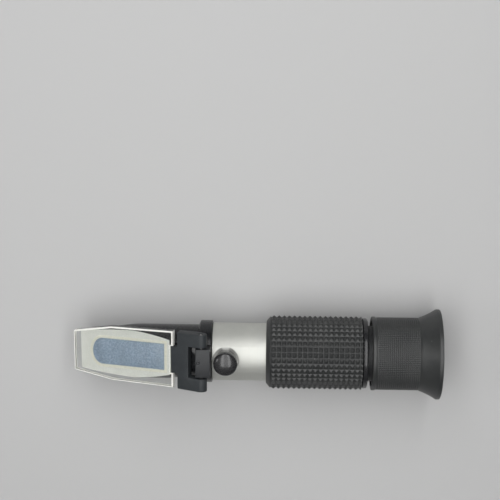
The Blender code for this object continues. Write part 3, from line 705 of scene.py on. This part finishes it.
def satin_silver():
    """Satin plated metal with hair-fine turning marks round it."""
    finish = Finish("satin_silver", (0.57, 0.575, 0.545), 0.57, Metallic=0.85)
    marks = finish.noise(14, 2, (1, 0.02, 0.02))
    cloud = finish.noise(0.12, 3)
    finish.colour(finish.ramp(cloud, (0.3, (0.54, 0.545, 0.515)), (0.7, (0.6, 0.605, 0.57))))
    finish.rough(finish.range(marks, 0.3, 0.7, 0.52, 0.62))
    finish.bump(marks, 0.002, 0.4)
    return finish.material


def spot_face_painted_shade():
    """The floor and wall of the spot face: duller metal than the plated barrel, darkened further as painted
    shade in the recess.
    """
    # A darker base than the barrel's silver, as painted shade where the spot face sinks into the tube
    finish = Finish("spot_face_painted_shade", (0.4, 0.4, 0.38), 0.5, Metallic=1.0)
    grain = finish.noise(3, 3)
    finish.colour(finish.ramp(grain, (0.3, (0.34, 0.34, 0.325)), (0.7, (0.46, 0.46, 0.44))))
    finish.rough(finish.range(grain, 0.3, 0.7, 0.42, 0.6))
    finish.bump(grain, 0.004, 0.4)
    return finish.material


def black_thread():
    """The greased black thread of the neck."""
    finish = Finish("black_thread", (0.014, 0.0145, 0.016), 0.4)
    spots = finish.noise(1.8, 4)
    finish.colour(finish.ramp(spots, (0.35, (0.01, 0.0105, 0.012)), (0.75, (0.05, 0.052, 0.052))))
    finish.rough(finish.range(spots, 0.3, 0.7, 0.3, 0.55))
    return finish.material


def rubber(name, dark, pale, roughness, specular, grain_scale, grain_depth):
    """Moulded rubber: clouded grey, a fine skin and a few specks of dust."""
    finish = Finish(name, dark, roughness, Specular_IOR_Level=specular)
    cloud = finish.noise(0.12, 5)
    base = finish.ramp(cloud, (0.3, dark), (0.72, pale))
    dust = finish.specks(0.22, 0.05)
    finish.colour(finish.mix(dust, base, (0.22, 0.22, 0.21)))
    grain = finish.noise(grain_scale, 3)
    finish.rough(finish.range(grain, 0.3, 0.7, roughness - 0.06, roughness + 0.08))
    finish.bump(grain, grain_depth, 0.5)
    return finish.material


def gloss_plastic():
    """Gloss black moulded plastic."""
    finish = Finish("gloss_plastic", (0.012, 0.0122, 0.0135), 0.2)
    cloud = finish.noise(0.2, 3)
    finish.colour(finish.ramp(cloud, (0.3, (0.01, 0.0102, 0.0115)), (0.7, (0.016, 0.0163, 0.0175))))
    finish.rough(finish.range(finish.noise(1.1, 4), 0.3, 0.7, 0.15, 0.28))
    finish.bump(finish.noise(0.7, 2), 0.006, 0.3)
    return finish.material


def cap_rubber():
    """Gloss black moulded cap."""
    finish = Finish("cap_rubber", (0.013, 0.013, 0.014), 0.16, Coat_Weight=0.3, Coat_Roughness=0.08)
    finish.colour(finish.ramp(finish.noise(0.5, 3), (0.3, (0.01, 0.01, 0.011)), (0.7, (0.019, 0.019, 0.02))))
    finish.rough(finish.range(finish.noise(2.0, 4), 0.3, 0.7, 0.2, 0.32))
    finish.bump(finish.noise(1.2, 2), 0.008, 0.3)
    return finish.material


def machined(name, dark, pale, roughness):
    """Bright machined metal with turning marks."""
    finish = Finish(name, pale, roughness, Metallic=1.0)
    marks = finish.noise(6, 3, (0.2, 1, 1))
    finish.colour(finish.ramp(marks, (0.3, dark), (0.7, pale)))
    finish.rough(finish.range(marks, 0.3, 0.7, roughness - 0.07, roughness + 0.1))
    finish.bump(marks, 0.003, 0.4)
    return finish.material


def coated_lens():
    """Lens glass with a thin coat that tints its reflections."""
    finish = Finish(
        "coated_lens", (0.97, 0.99, 0.985), 0.0, Transmission_Weight=1.0, IOR=1.52, Thin_Film_Thickness=380.0
    )
    finish.rough(finish.range(finish.noise(0.4, 3), 0.4, 0.8, 0.0, 0.03))
    return finish.material


MATERIALS = {
    "enamel": black_enamel(),
    "milled": milled_face(),
    "prism": prism_glass(),
    "cement": cream_cement(),
    "acrylic": clear_acrylic(),
    "frosted": frosted_edge(),
    "bracket": bracket_plastic(),
    "block": block_metal(),
    "silver": satin_silver(),
    # The spot face's darker metal is painted shade in the recess
    "recess_shade": spot_face_painted_shade(),
    "thread": black_thread(),
    "grip": rubber("grip_rubber", (0.019, 0.02, 0.0205), (0.029, 0.03, 0.0295), 0.45, 0.52, 6, 0.012),
    "cup": rubber("eyecup_rubber", (0.018, 0.0195, 0.02), (0.028, 0.0295, 0.029), 0.4, 0.5, 5, 0.015),
    "o_ring": rubber("o_ring_rubber", (0.015, 0.015, 0.016), (0.024, 0.024, 0.024), 0.5, 0.5, 7, 0.01),
    "gloss": gloss_plastic(),
    "cap": cap_rubber(),
    "steel": machined("bright_steel", (0.48, 0.48, 0.47), (0.68, 0.68, 0.66), 0.24),
    "brass": machined("machined_brass", (0.5, 0.35, 0.13), (0.68, 0.5, 0.2), 0.3),
    "lens": coated_lens(),
}


# Pieces


def make_head():
    """The head: black collar and nose, with the bright slanted face and the pocket of the prism."""
    collar_front = BARREL_FRONT - COLLAR_LENGTH
    collar_rear = BARREL_FRONT - FIT
    spigot_rear = BARREL_FRONT + SPIGOT_LENGTH
    bore_front = RUNOUT_X - PRISM_SETBACK
    head = turned(
        "head_shell",
        [
            (NOSE_X, 0, 0),
            (NOSE_X, NOSE_RADIUS, NOSE_EDGE),
            (NOSE_X + NOSE_TAPER, HEAD_RADIUS, TAPER_BLEND),
            (RUNOUT_X, HEAD_RADIUS, SMALL_EDGE),
            (collar_front, COLLAR_RADIUS, PLAIN_EDGE),
            (collar_rear, COLLAR_RADIUS, COLLAR_EDGE),
            (collar_rear, SPIGOT_RADIUS, 0),
            (spigot_rear, SPIGOT_RADIUS, PLAIN_EDGE),
            (spigot_rear, LIGHT_BORE, 0),
            (bore_front, LIGHT_BORE, 0),
            (bore_front, 0, 0),
        ],
    )
    slant = box("slant", (-FAR * 2, -FAR, 0), (0, FAR, FAR), FACE)
    pocket = slab("pocket", window_outline(BEAD_WIDTH + GLUE), BEYOND, FAR / 2, FACE)
    carve(pocket, box("pocket_floor", (-FAR * 2, -FAR, -FAR), (FAR, FAR, PRISM_FLOOR - FIT), AXIS))
    seat_side = BLOCK_WIDTH / 2 + FIT
    seat = box(
        "seat",
        (PIN.x - BLOCK_FRONT - FIT, -seat_side, HEAD_RADIUS),
        (BARREL_FRONT - FIT / 2, seat_side, FAR),
        AXIS,
    )
    carve(head, slant, pocket, seat)
    divide(head, BRIGHT_REAR)
    up = (FACE.to_3x3() @ Vector((0, 0, 1))).normalized()
    finish_piece(
        head,
        "housing",
        [MATERIALS["enamel"], MATERIALS["milled"]],
        ["head_body"],
        lambda centre, normal: int(normal.dot(up) > ALIGNED and centre.x < BRIGHT_REAR),
    )


def make_prism():
    """The glass in the face and the crowned bead of cement round it."""
    prism = slab("prism_block", window_outline(0), 0, FAR / 2, FACE)
    carve(prism, box("prism_floor", (-FAR * 2, -FAR, -FAR), (FAR, FAR, PRISM_FLOOR), AXIS))
    soften(prism, PRISM_EDGE)
    finish_piece(prism, "housing", [MATERIALS["prism"]], ["measuring_prism"])

    inner, outer = BEAD_GAP, BEAD_WIDTH + GLUE
    loops = [(inner + (outer - inner) * share, BEAD_CROWN * height) for share, height in BEAD_SECTION]
    loops += [(outer, -BEAD_DEPTH), (inner, -BEAD_DEPTH)]
    points = [(x, y, height) for grow, height in loops for x, y in window_outline(grow)]
    faces = skin_faces(len(loops), len(points) // len(loops))
    bead = new_object("prism_bead", mesh_from("prism_bead", points, faces, FACE))
    finish_piece(bead, "housing", [MATERIALS["cement"]], ["prism_seal"])


def make_hinge():
    """The block between the bracket's arms, with the ring mark on its top, and the steel pin."""
    block = box(
        "hinge_carrier",
        (PIN.x - BLOCK_FRONT, -BLOCK_WIDTH / 2, HEAD_RADIUS + GLUE),
        (PIN.x + BLOCK_REAR, BLOCK_WIDTH / 2, BLOCK_TOP),
        AXIS,
    )
    soften(block, BLOCK_EDGE, segments=3)
    mark_place = AXIS @ Matrix.Translation(
        ((PIN.x - BLOCK_FRONT + MARK_PLACE[0]) * MM, MARK_PLACE[1] * MM, BLOCK_TOP * MM)
    )
    groove = turned(
        "mark",
        [
            (-MARK_DEPTH, MARK_RADIUS, 0),
            (MARK_DEPTH, MARK_RADIUS + MARK_WIDTH, 0),
            (MARK_DEPTH, MARK_RADIUS - MARK_WIDTH, 0),
        ],
        mark_place @ UPRIGHT,
        SMALL_SIDES,
    )
    pin_line = Matrix.Translation(PIN * MM) @ ACROSS
    hole = rod("pin_hole", -FAR, FAR, PIN_RADIUS + GLUE, pin_line)
    carve(block, groove, hole)
    finish_piece(block, "housing", [MATERIALS["block"]], ["hinge_block"])

    half = BRACKET_WIDTH / 2 - FIT
    pin = rod("steel_pin", -half, half, PIN_RADIUS, pin_line, SMALL_EDGE)
    finish_piece(pin, "housing", [MATERIALS["steel"]], ["hinge_pin"])


def make_flap():
    """The clear plate with its frosted edges, and the bracket that swings it."""
    shoulder = -BRACKET_LENGTH
    tongue_end = shoulder - TONGUE_LENGTH
    horn_end = shoulder - HORN_GAP
    notch = TONGUE_WIDTH / 2 + GLUE
    side_edge = BRACKET_WIDTH / 2
    corner = (-PLATE_REACH + PLATE_CORNER, PLATE_NOSE_WIDTH / 2 - PLATE_CORNER)
    upper = [
        (tongue_end - GLUE, notch),
        (horn_end, notch),
        (horn_end, side_edge),
        (-PLATE_REACH + PLATE_SHOULDER, side_edge - PLATE_SHOULDER_INSET),
        *arc(corner, PLATE_CORNER, PLATE_CORNER_ANGLE, 180, PLATE_CORNER_STEPS),
    ]
    outline = upper + [(x, -y) for x, y in reversed(upper)]
    plate = eased_slab("clear_plate", outline, PLATE_TOP, PLATE_THICKNESS, PLATE_EDGE, HINGE)
    up = (HINGE.to_3x3() @ Vector((0, 0, 1))).normalized()

    def plate_finish(centre, normal):
        """The material's number: clear, or frosted on the rounded edges and the horns' ends."""
        tilt = abs(normal.dot(up))
        on_edge = NEARLY_SQUARE < tilt < NEARLY_ALIGNED
        on_horn = tilt < NEARLY_SQUARE and normal.x > MOSTLY_ALIGNED
        in_notch = abs(centre.y) < notch and centre.x > PIN.x - PLATE_REACH / 2
        return int((on_edge or on_horn) and not in_notch)

    finish_piece(
        plate,
        "flap",
        [MATERIALS["acrylic"], MATERIALS["frosted"]],
        ["daylight_plate"],
        plate_finish,
        CREASE_ANGLE,
    )

    top, bottom = PLATE_TOP, PLATE_TOP - PLATE_THICKNESS
    rise = math.degrees(math.atan2(BOSS_RADIUS - top, BRACKET_LENGTH + TONGUE_LENGTH))
    side = [
        (tongue_end, bottom),
        (-BOSS_RADIUS, bottom),
        *arc((0, 0), BOSS_RADIUS, 270, 360 + 90 + rise, BOSS_STEPS),
        (tongue_end, top),
    ]
    standing = HINGE @ Matrix.Rotation(math.pi / 2, 4, "X")
    bracket = slab("flap_bracket", side, BRACKET_WIDTH / 2, BRACKET_WIDTH, standing)
    slot_side = BLOCK_WIDTH / 2 + SLOT_GAP
    cutters = [
        box("slot", (-SLOT_DEPTH, -slot_side, -FAR), (FAR, slot_side, FAR), HINGE),
        box("tongue_left", (-FAR, TONGUE_WIDTH / 2, -FAR), (shoulder, FAR, FAR), HINGE),
        box("tongue_right", (-FAR, -FAR, -FAR), (shoulder, -TONGUE_WIDTH / 2, FAR), HINGE),
        rod("bore", -FAR, FAR, PIN_RADIUS + PIN_RUN, HINGE @ ACROSS),
    ]
    carve(bracket, *cutters)
    soften(bracket, BRACKET_EDGE, segments=3)
    finish_piece(bracket, "flap", [MATERIALS["bracket"]], ["plate_bracket"])


# The barrel's materials by number: the tube, the neck, and the floor and wall of the spot face, darkened with
# painted shade
BARREL_FINISHES = ("silver", "thread", "recess_shade")


def barrel_finish(centre, normal):
    """The number of the material that a face of the barrel has."""
    if centre.x > GRIP_REAR - BEYOND:
        return BARREL_FINISHES.index("thread")
    in_spot = math.hypot(centre.x - SCREW_X, centre.y) < SPOT_RADIUS + FLATNESS
    height = centre.z - AXIS_HEIGHT - SPOT_HEIGHT
    # Faces of the spot face take the darker metal, which is painted shade in the recess
    cut = in_spot and (abs(height) < FLATNESS or height > 0 and abs(normal.z) < FLATNESS)
    return BARREL_FINISHES.index("recess_shade" if cut else "silver")


def make_barrel():
    """The silver barrel with its spot face, and the black threaded neck behind the ring."""
    threads = []
    root = NECK_RADIUS - THREAD_DEPTH
    place = RING_REAR - THREAD_PITCH
    while place < NECK_REAR - THREAD_PITCH:
        threads += [(place, NECK_RADIUS, THREAD_EDGE), (place + THREAD_PITCH / 2, root, THREAD_EDGE)]
        place += THREAD_PITCH
    barrel = turned(
        "barrel",
        [
            (BARREL_FRONT, BARREL_BORE, 0),
            (BARREL_FRONT, BARREL_RADIUS, BARREL_EDGE),
            (GRIP_REAR, BARREL_RADIUS, 0),
            (GRIP_REAR, NECK_RADIUS, 0),
            *threads,
            (NECK_REAR, NECK_RADIUS, SMALL_EDGE),
            (NECK_REAR, BARREL_BORE, 0),
        ],
        steps=THREAD_EDGE_STEPS,
    )
    spot = rod("spot_face", SPOT_HEIGHT, FAR, SPOT_RADIUS, SCREW @ UPRIGHT, sides=SIDES)
    hole = rod("bush_hole", 0, FAR, BUSH_RADIUS + GLUE, SCREW @ UPRIGHT)
    carve(barrel, spot, hole)
    finish_piece(
        barrel,
        "housing",
        [MATERIALS[name] for name in BARREL_FINISHES],
        ["barrel_tube"],
        barrel_finish,
    )

    ring = turned(
        "gloss_ring",
        [
            (RING_FRONT, NECK_RADIUS + FIT, 0),
            (RING_FRONT, RING_RADIUS, RING_EDGE),
            (RING_REAR, RING_RADIUS, RING_EDGE),
            (RING_REAR, NECK_RADIUS + FIT, 0),
        ],
    )
    finish_piece(ring, "housing", [MATERIALS["gloss"]], ["rear_ring"])


def make_grip():
    """The rubber sleeve of blunt pyramids between narrow valleys, behind a conical lip."""
    cell = np.array(GRIP_CELL_LINES)
    sides = GRIP_ROWS * len(cell)
    bore = BARREL_RADIUS + FIT
    valley = GRIP_RADIUS - PYRAMID_HEIGHT
    pattern_front = GRIP_FRONT + GRIP_LIP
    pitch = (GRIP_REAR - pattern_front) / GRIP_COLUMNS
    lip = rounded(
        [
            (GRIP_FRONT, bore, 0),
            (GRIP_FRONT, GRIP_NOSE_RADIUS, SMALL_EDGE),
            (pattern_front - GRIP_LIP_STEP, GRIP_LIP_RADIUS, GRIP_LIP_EDGE),
            (pattern_front, valley, 0),
        ]
    )[:-1]
    whole = np.arange(math.ceil(GRIP_COLUMNS))[:, None] + cell[None, :]
    columns = np.append(whole[whole < GRIP_COLUMNS], GRIP_COLUMNS)
    rows = (np.arange(GRIP_ROWS)[:, None] + cell[None, :] - 0.5).ravel()

    def on_tips(lines):
        """Tells the lines along the tips, in the middle half of their cells, from those in the valleys."""
        return np.abs(lines % 1 - 0.5) < 0.25

    pattern = valley + PYRAMID_HEIGHT * (on_tips(columns)[:, None] & on_tips(rows)[None, :])
    places = [place for place, _ in lip] + list(pattern_front + pitch * columns) + [GRIP_REAR]
    radii = np.vstack([even_rows(lip, sides), pattern, np.full((1, sides), bore)])
    grip = new_object("pyramid_grip", turned_mesh("pyramid_grip", places, radii, AXIS, rows / GRIP_ROWS))
    crease_ridges(grip)
    finish_piece(grip, "housing", [MATERIALS["grip"]], ["grip_sleeve"], sharp=CREASE_ANGLE)


def make_calibration():
    """The brass bush, the slotted screw and the gloss cap over them."""
    upright = SCREW @ UPRIGHT
    flange_low = SPOT_HEIGHT + GLUE
    flange_top = flange_low + BUSH_FLANGE
    bush_low = flange_low - BUSH_LENGTH
    bore = SCREW_RADIUS + FIT
    bush = turned(
        "screw_bush",
        [
            (bush_low, bore, 0),
            (bush_low, BUSH_RADIUS, 0),
            (flange_low, BUSH_RADIUS, 0),
            (flange_low, BUSH_FLANGE_RADIUS, 0),
            (flange_top, BUSH_FLANGE_RADIUS, SMALL_EDGE),
            (flange_top, bore, FINE_EDGE),
        ],
        upright,
        SMALL_SIDES,
    )
    finish_piece(bush, "housing", [MATERIALS["brass"]], ["calibration_bush"])

    head_low = flange_top + FIT
    head_top = head_low + SCREW_HEAD
    screw = turned(
        "slotted_screw",
        [
            (SCREW_END, 0, 0),
            (SCREW_END, SCREW_RADIUS, SMALL_EDGE),
            (head_low, SCREW_RADIUS, 0),
            (head_low, SCREW_HEAD_RADIUS, HAIR_EDGE),
            (head_top, SCREW_HEAD_RADIUS, PLAIN_EDGE),
            (head_top, 0, 0),
        ],
        upright,
        SMALL_SIDES,
    )
    half = SCREW_SLOT / 2
    carve(screw, box("screw_slot", (-FAR, -half, head_top - SCREW_SLOT_DEPTH), (FAR, half, FAR), SCREW))
    finish_piece(screw, "screw", [MATERIALS["steel"]], ["calibration_screw"])

    foot = SPOT_HEIGHT + FIT
    flare_top = foot + CAP_FLARE
    wall_top = flare_top + CAP_WALL
    pocket_top = head_top + 2 * FIT
    dome = arc((0, 0), 1, 90, 0, CAP_DOME_STEPS)
    cap = turned(
        "gloss_cap",
        [
            (foot, CAP_POCKET, HAIR_EDGE),
            (foot, CAP_FOOT_RADIUS, FINE_EDGE),
            (flare_top, CAP_RADIUS, CAP_FLARE_EDGE),
            *[(wall_top + CAP_DOME * rise, CAP_RADIUS * reach, 0) for rise, reach in dome],
            (pocket_top, 0, 0),
            (pocket_top, CAP_POCKET, SMALL_EDGE),
        ],
        upright,
    )
    finish_piece(cap, "cap", [MATERIALS["cap"]], ["calibration_cap"])


def make_lens(name, node, front_bulge, rear_bulge, body, steps=10):
    """A lens between the ends of its solid, curved on one side or both."""
    low, high = span(node)
    radius = (high.y - low.y) / 2
    shares = np.linspace(0, 1, steps + 1)
    front = [(low.x + front_bulge * share**2, radius * share, 0) for share in shares]
    rear = [(high.x - rear_bulge * share**2, radius * share, 0) for share in shares[::-1]]
    lens = turned(name, front + rear, sides=SMALL_SIDES)
    finish_piece(lens, body, [MATERIALS["lens"]], [node])


def make_eyepiece():
    """The focusing tube, its two lenses and the notched ring that holds them."""
    tube_front = EYECUP_FRONT + EYEPIECE_RECESS
    tube_rear = span("eyepiece_tube")[1].x
    neck_stop = NECK_REAR + FOCUS_IN + SLIDE_FIT
    stop_rear = neck_stop + LENS_STOP
    tube = turned(
        "focus_tube",
        [
            (tube_front, NECK_RADIUS + SLIDE_FIT, 0),
            (tube_front, EYEPIECE_RADIUS, PLAIN_EDGE),
            (tube_rear, EYEPIECE_RADIUS, PLAIN_EDGE),
            (tube_rear, LENS_BORE, FINE_EDGE),
            (stop_rear, LENS_BORE, 0),
            (stop_rear, LENS_STOP_RADIUS, 0),
            (neck_stop, LENS_STOP_RADIUS, 0),
            (neck_stop, NECK_RADIUS + SLIDE_FIT, 0),
        ],
    )
    finish_piece(tube, "eyepiece", [MATERIALS["gloss"]], ["eyepiece_tube"])
    make_lens("front_lens", "field_lens", 0, FIELD_LENS_BULGE, "eyepiece_lenses")
    make_lens("rear_lens", "eye_lens", EYE_LENS_BULGE, 0, "eyepiece_lenses")

    low, high = span("lens_retaining_ring")
    ring_radius = (high.y - low.y) / 2
    ring = turned(
        "notched_ring",
        [
            (low.x, LENS_RING_OPENING, 0),
            (low.x, ring_radius, HAIR_EDGE),
            (high.x, ring_radius, HAIR_EDGE),
            (high.x, LENS_RING_OPENING, SOFT_EDGE),
        ],
    )
    half = LENS_RING_NOTCH / 2
    notch_floor = (low.x + high.x) / 2
    carve(ring, box("notch", (notch_floor, -FAR, -half), (FAR * 2, FAR, half), AXIS))
    finish_piece(ring, "eyepiece_lenses", [MATERIALS["enamel"]], ["lens_retaining_ring"])


def make_eyecup():
    """The rubber eyecup: bead, sleeve with its fine grid of bumps, smooth flare, rim and hollow."""
    grid_rows = round(math.tau * SLEEVE_RADIUS / GRID_PITCH)
    sides = grid_rows * GRID_STEPS
    bead_rear = EYECUP_FRONT + EYECUP_BEAD
    sleeve_rear = EYECUP_FRONT + SLEEVE_LENGTH
    rim_front = EYECUP_REAR - RIM_LENGTH
    web_front = span("lens_retaining_ring")[1].x + FIT
    sleeve_bore = EYEPIECE_RADIUS + FIT
    grid_floor = SLEEVE_RADIUS - GRID_DEPTH
    bead = rounded(
        [
            (EYECUP_FRONT, sleeve_bore, 0),
            (EYECUP_FRONT, EYECUP_BEAD_RADIUS, EYECUP_BEAD_EDGE),
            (bead_rear, EYECUP_BEAD_RADIUS, SOFT_EDGE),
            (bead_rear, grid_floor, FINE_EDGE),
            (sleeve_rear, grid_floor, 0),
        ]
    )[:-1]
    grid_front = bead_rear + GRID_PITCH / 2
    grid_columns = round((sleeve_rear - grid_front) / GRID_PITCH)
    steps = np.arange(GRID_STEPS * grid_columns + 1)
    raised = (steps % GRID_STEPS > 0)[:, None] * (np.arange(sides) % GRID_STEPS > 0)[None, :]
    grid = grid_floor + GRID_DEPTH * raised
    grid_places = grid_front + (sleeve_rear - grid_front) * steps / steps[-1]

    shares = np.linspace(0, 1, FLARE_STEPS + 1)[1:-1]
    dips = 4 * (0.5 - FLARE_SWELL) * shares * (1 - shares)
    flare_places = sleeve_rear + (rim_front - sleeve_rear) * shares
    flare_radii = SLEEVE_RADIUS + (RIM_RADIUS - SLEEVE_RADIUS) * (shares - dips)
    flare = list(zip(flare_places, flare_radii))
    rim_bore = RIM_RADIUS - RIM_WALL
    rear = rounded(
        [
            (*flare[-1], 0),
            (rim_front, RIM_RADIUS, PLAIN_EDGE),
            (EYECUP_REAR, RIM_RADIUS, RIM_EDGE),
            (EYECUP_REAR, rim_bore, RIM_EDGE),
            (web_front + WEB, EYE_OPENING, SOFT_EDGE),
            (web_front, EYE_OPENING, PLAIN_EDGE),
            (web_front, sleeve_bore, 0),
            (EYECUP_FRONT, sleeve_bore, 0),
        ]
    )[1:-1]
    tail = flare + rear
    places = [place for place, _ in bead] + list(grid_places) + [place for place, _ in tail]
    radii = np.vstack([even_rows(bead, sides), grid, even_rows(tail, sides)])
    eyecup = new_object("rubber_eyecup", turned_mesh("rubber_eyecup", places, radii, AXIS))
    finish_piece(eyecup, "eyepiece", [MATERIALS["cup"]], ["eyecup"], sharp=CREASE_ANGLE)


INNER_FINISHES = {
    "head_o_ring": "o_ring",
    "lens_guide": "gloss",
    "lens_seat": "brass",
    "bimetal_strip": "brass",
    "strip_screw_1": "steel",
    "strip_screw_2": "steel",
    "objective_cell": "gloss",
    "objective_lens": "lens",
    "objective_retainer": "brass",
    "reticle": "lens",
    "reticle_cell": "gloss",
    "lens_spacer": "enamel",
}


def finish_inner_nodes():
    """Finishes for the solids inside, which keep their own shapes."""
    for name, finish in INNER_FINISHES.items():
        materials = frame["nodes"][name].data.materials
        materials.clear()
        materials.append(MATERIALS[finish])


# Stage

# The photograph's camera: its distance, aim and turns about the object's own axes
VIEW_DISTANCE = 584.75
VIEW_RISE = 45.91
VIEW_TILT = math.radians(14.13)
VIEW_YAW = math.radians(1.36)
VIEW_ROLL = math.radians(-0.74)
VIEW_CENTRE_X = -2.72
VIEW_LENS = 93.1
VIEW_NEAR = 10.0
VIEW_FAR = 20000.0
SENSOR = 36.0

# Lamps: a wide soft box over the part, a brighter one past each end, and a small one off the nose
LAMPS = (
    ("overhead_box", (0, 200, 640), (0, 0, 20), (500, 1150), 1.6),
    ("nose_side_box", (-175, 200, 620), (-175, 0, 20), (150, 1150), 2.45),
    ("eye_side_box", (175, 200, 620), (175, 0, 20), (150, 1150), 2.45),
    ("nose_lamp", (-480, 90, 460), (0, 0, 20), (160, 160), 4.0),
)

# Floor, which gets paler between two distances: painted light that makes up for the lamps' falloff far away
FLOOR_RADIUS = 4000.0
FLOOR_THICKNESS = 10.0
FLOOR_FADE = (350.0, 1100.0)
FLOOR_NEAR = (0.48, 0.48, 0.48)
FLOOR_FAR = (0.88, 0.88, 0.88)
FLOOR_ROUGHNESS = 0.7

# The sky's colours by height, from the horizon at 0 to overhead at 1
SKY = ((0.0, (0.25, 0.25, 0.25)), (0.12, (0.1, 0.102, 0.106)), (0.9, (0.34, 0.34, 0.335)))


def make_camera():
    """The camera at the photograph's angle."""
    data = bpy.data.cameras.new("photo_camera")
    data.sensor_width = SENSOR
    data.lens = VIEW_LENS
    data.clip_start = VIEW_NEAR * MM
    data.clip_end = VIEW_FAR * MM
    camera = bpy.data.objects.new("photo_camera", data)
    bpy.context.scene.collection.objects.link(camera)
    turn = (
        Matrix.Rotation(-VIEW_TILT, 4, "X")
        @ Matrix.Rotation(VIEW_YAW, 4, "Y")
        @ Matrix.Rotation(-VIEW_ROLL, 4, "Z")
    )
    centre = Matrix.Translation((VIEW_CENTRE_X * MM, 0, AXIS_HEIGHT * MM))
    camera.matrix_world = centre @ turn @ Matrix.Translation((0, VIEW_RISE * MM, VIEW_DISTANCE * MM))
    bpy.context.scene.camera = camera


def make_floor():
    """A wide pale disc, paler far away, where less of the light falls: that paleness is painted light."""
    finish = Finish("pale_floor", FLOOR_NEAR, FLOOR_ROUGHNESS)
    distance = finish.node("ShaderNodeVectorMath", operation="LENGTH")
    finish.link(finish.place(), distance, 0)
    share = finish.range(distance.outputs["Value"], *FLOOR_FADE, 0, 1)
    finish.colour(finish.ramp(share, (0, FLOOR_NEAR), (1, FLOOR_FAR)))
    floor = rod("floor", -FLOOR_THICKNESS, 0, FLOOR_RADIUS, UPRIGHT, sides=SIDES)
    floor.data.materials.append(finish.material)


def make_lamp(name, place, aim, size, brightness):
    """A soft rectangular lamp that looks at a point, with its place and size in millimetres."""
    data = bpy.data.lights.new(name, "AREA")
    data.shape = "RECTANGLE"
    data.size, data.size_y = size[0] * MM, size[1] * MM
    data.energy = brightness * math.pi * data.size * data.size_y
    lamp = bpy.data.objects.new(name, data)
    lamp.visible_camera = False
    lamp.location = Vector(place) * MM
    lamp.rotation_euler = (Vector(aim) - Vector(place)).to_track_quat("-Z", "Y").to_euler()
    bpy.context.scene.collection.objects.link(lamp)


def make_world():
    """Soft light from above, over a narrow pale band at the horizon."""
    world = bpy.data.worlds.new("studio")
    bpy.context.scene.world = world
    world.use_nodes = True
    tree = world.node_tree
    background = tree.nodes["Background"]
    coordinates = tree.nodes.new("ShaderNodeTexCoord")
    split = tree.nodes.new("ShaderNodeSeparateXYZ")
    ramp = tree.nodes.new("ShaderNodeValToRGB")
    elements = ramp.color_ramp.elements
    elements.new(0.5)
    for element, (height, colour) in zip(elements, SKY):
        element.position = height
        element.color = (*colour, 1)
    tree.links.new(coordinates.outputs["Generated"], split.inputs["Vector"])
    tree.links.new(split.outputs["Z"], ramp.inputs["Fac"])
    tree.links.new(ramp.outputs["Color"], background.inputs["Color"])


make_camera()
make_head()
make_prism()
make_hinge()
make_flap()
make_barrel()
make_grip()
make_calibration()
make_eyepiece()
make_eyecup()
finish_inner_nodes()
make_floor()
for lamp in LAMPS:
    make_lamp(*lamp)
make_world()
bpy.context.scene.view_settings.view_transform = "Standard"
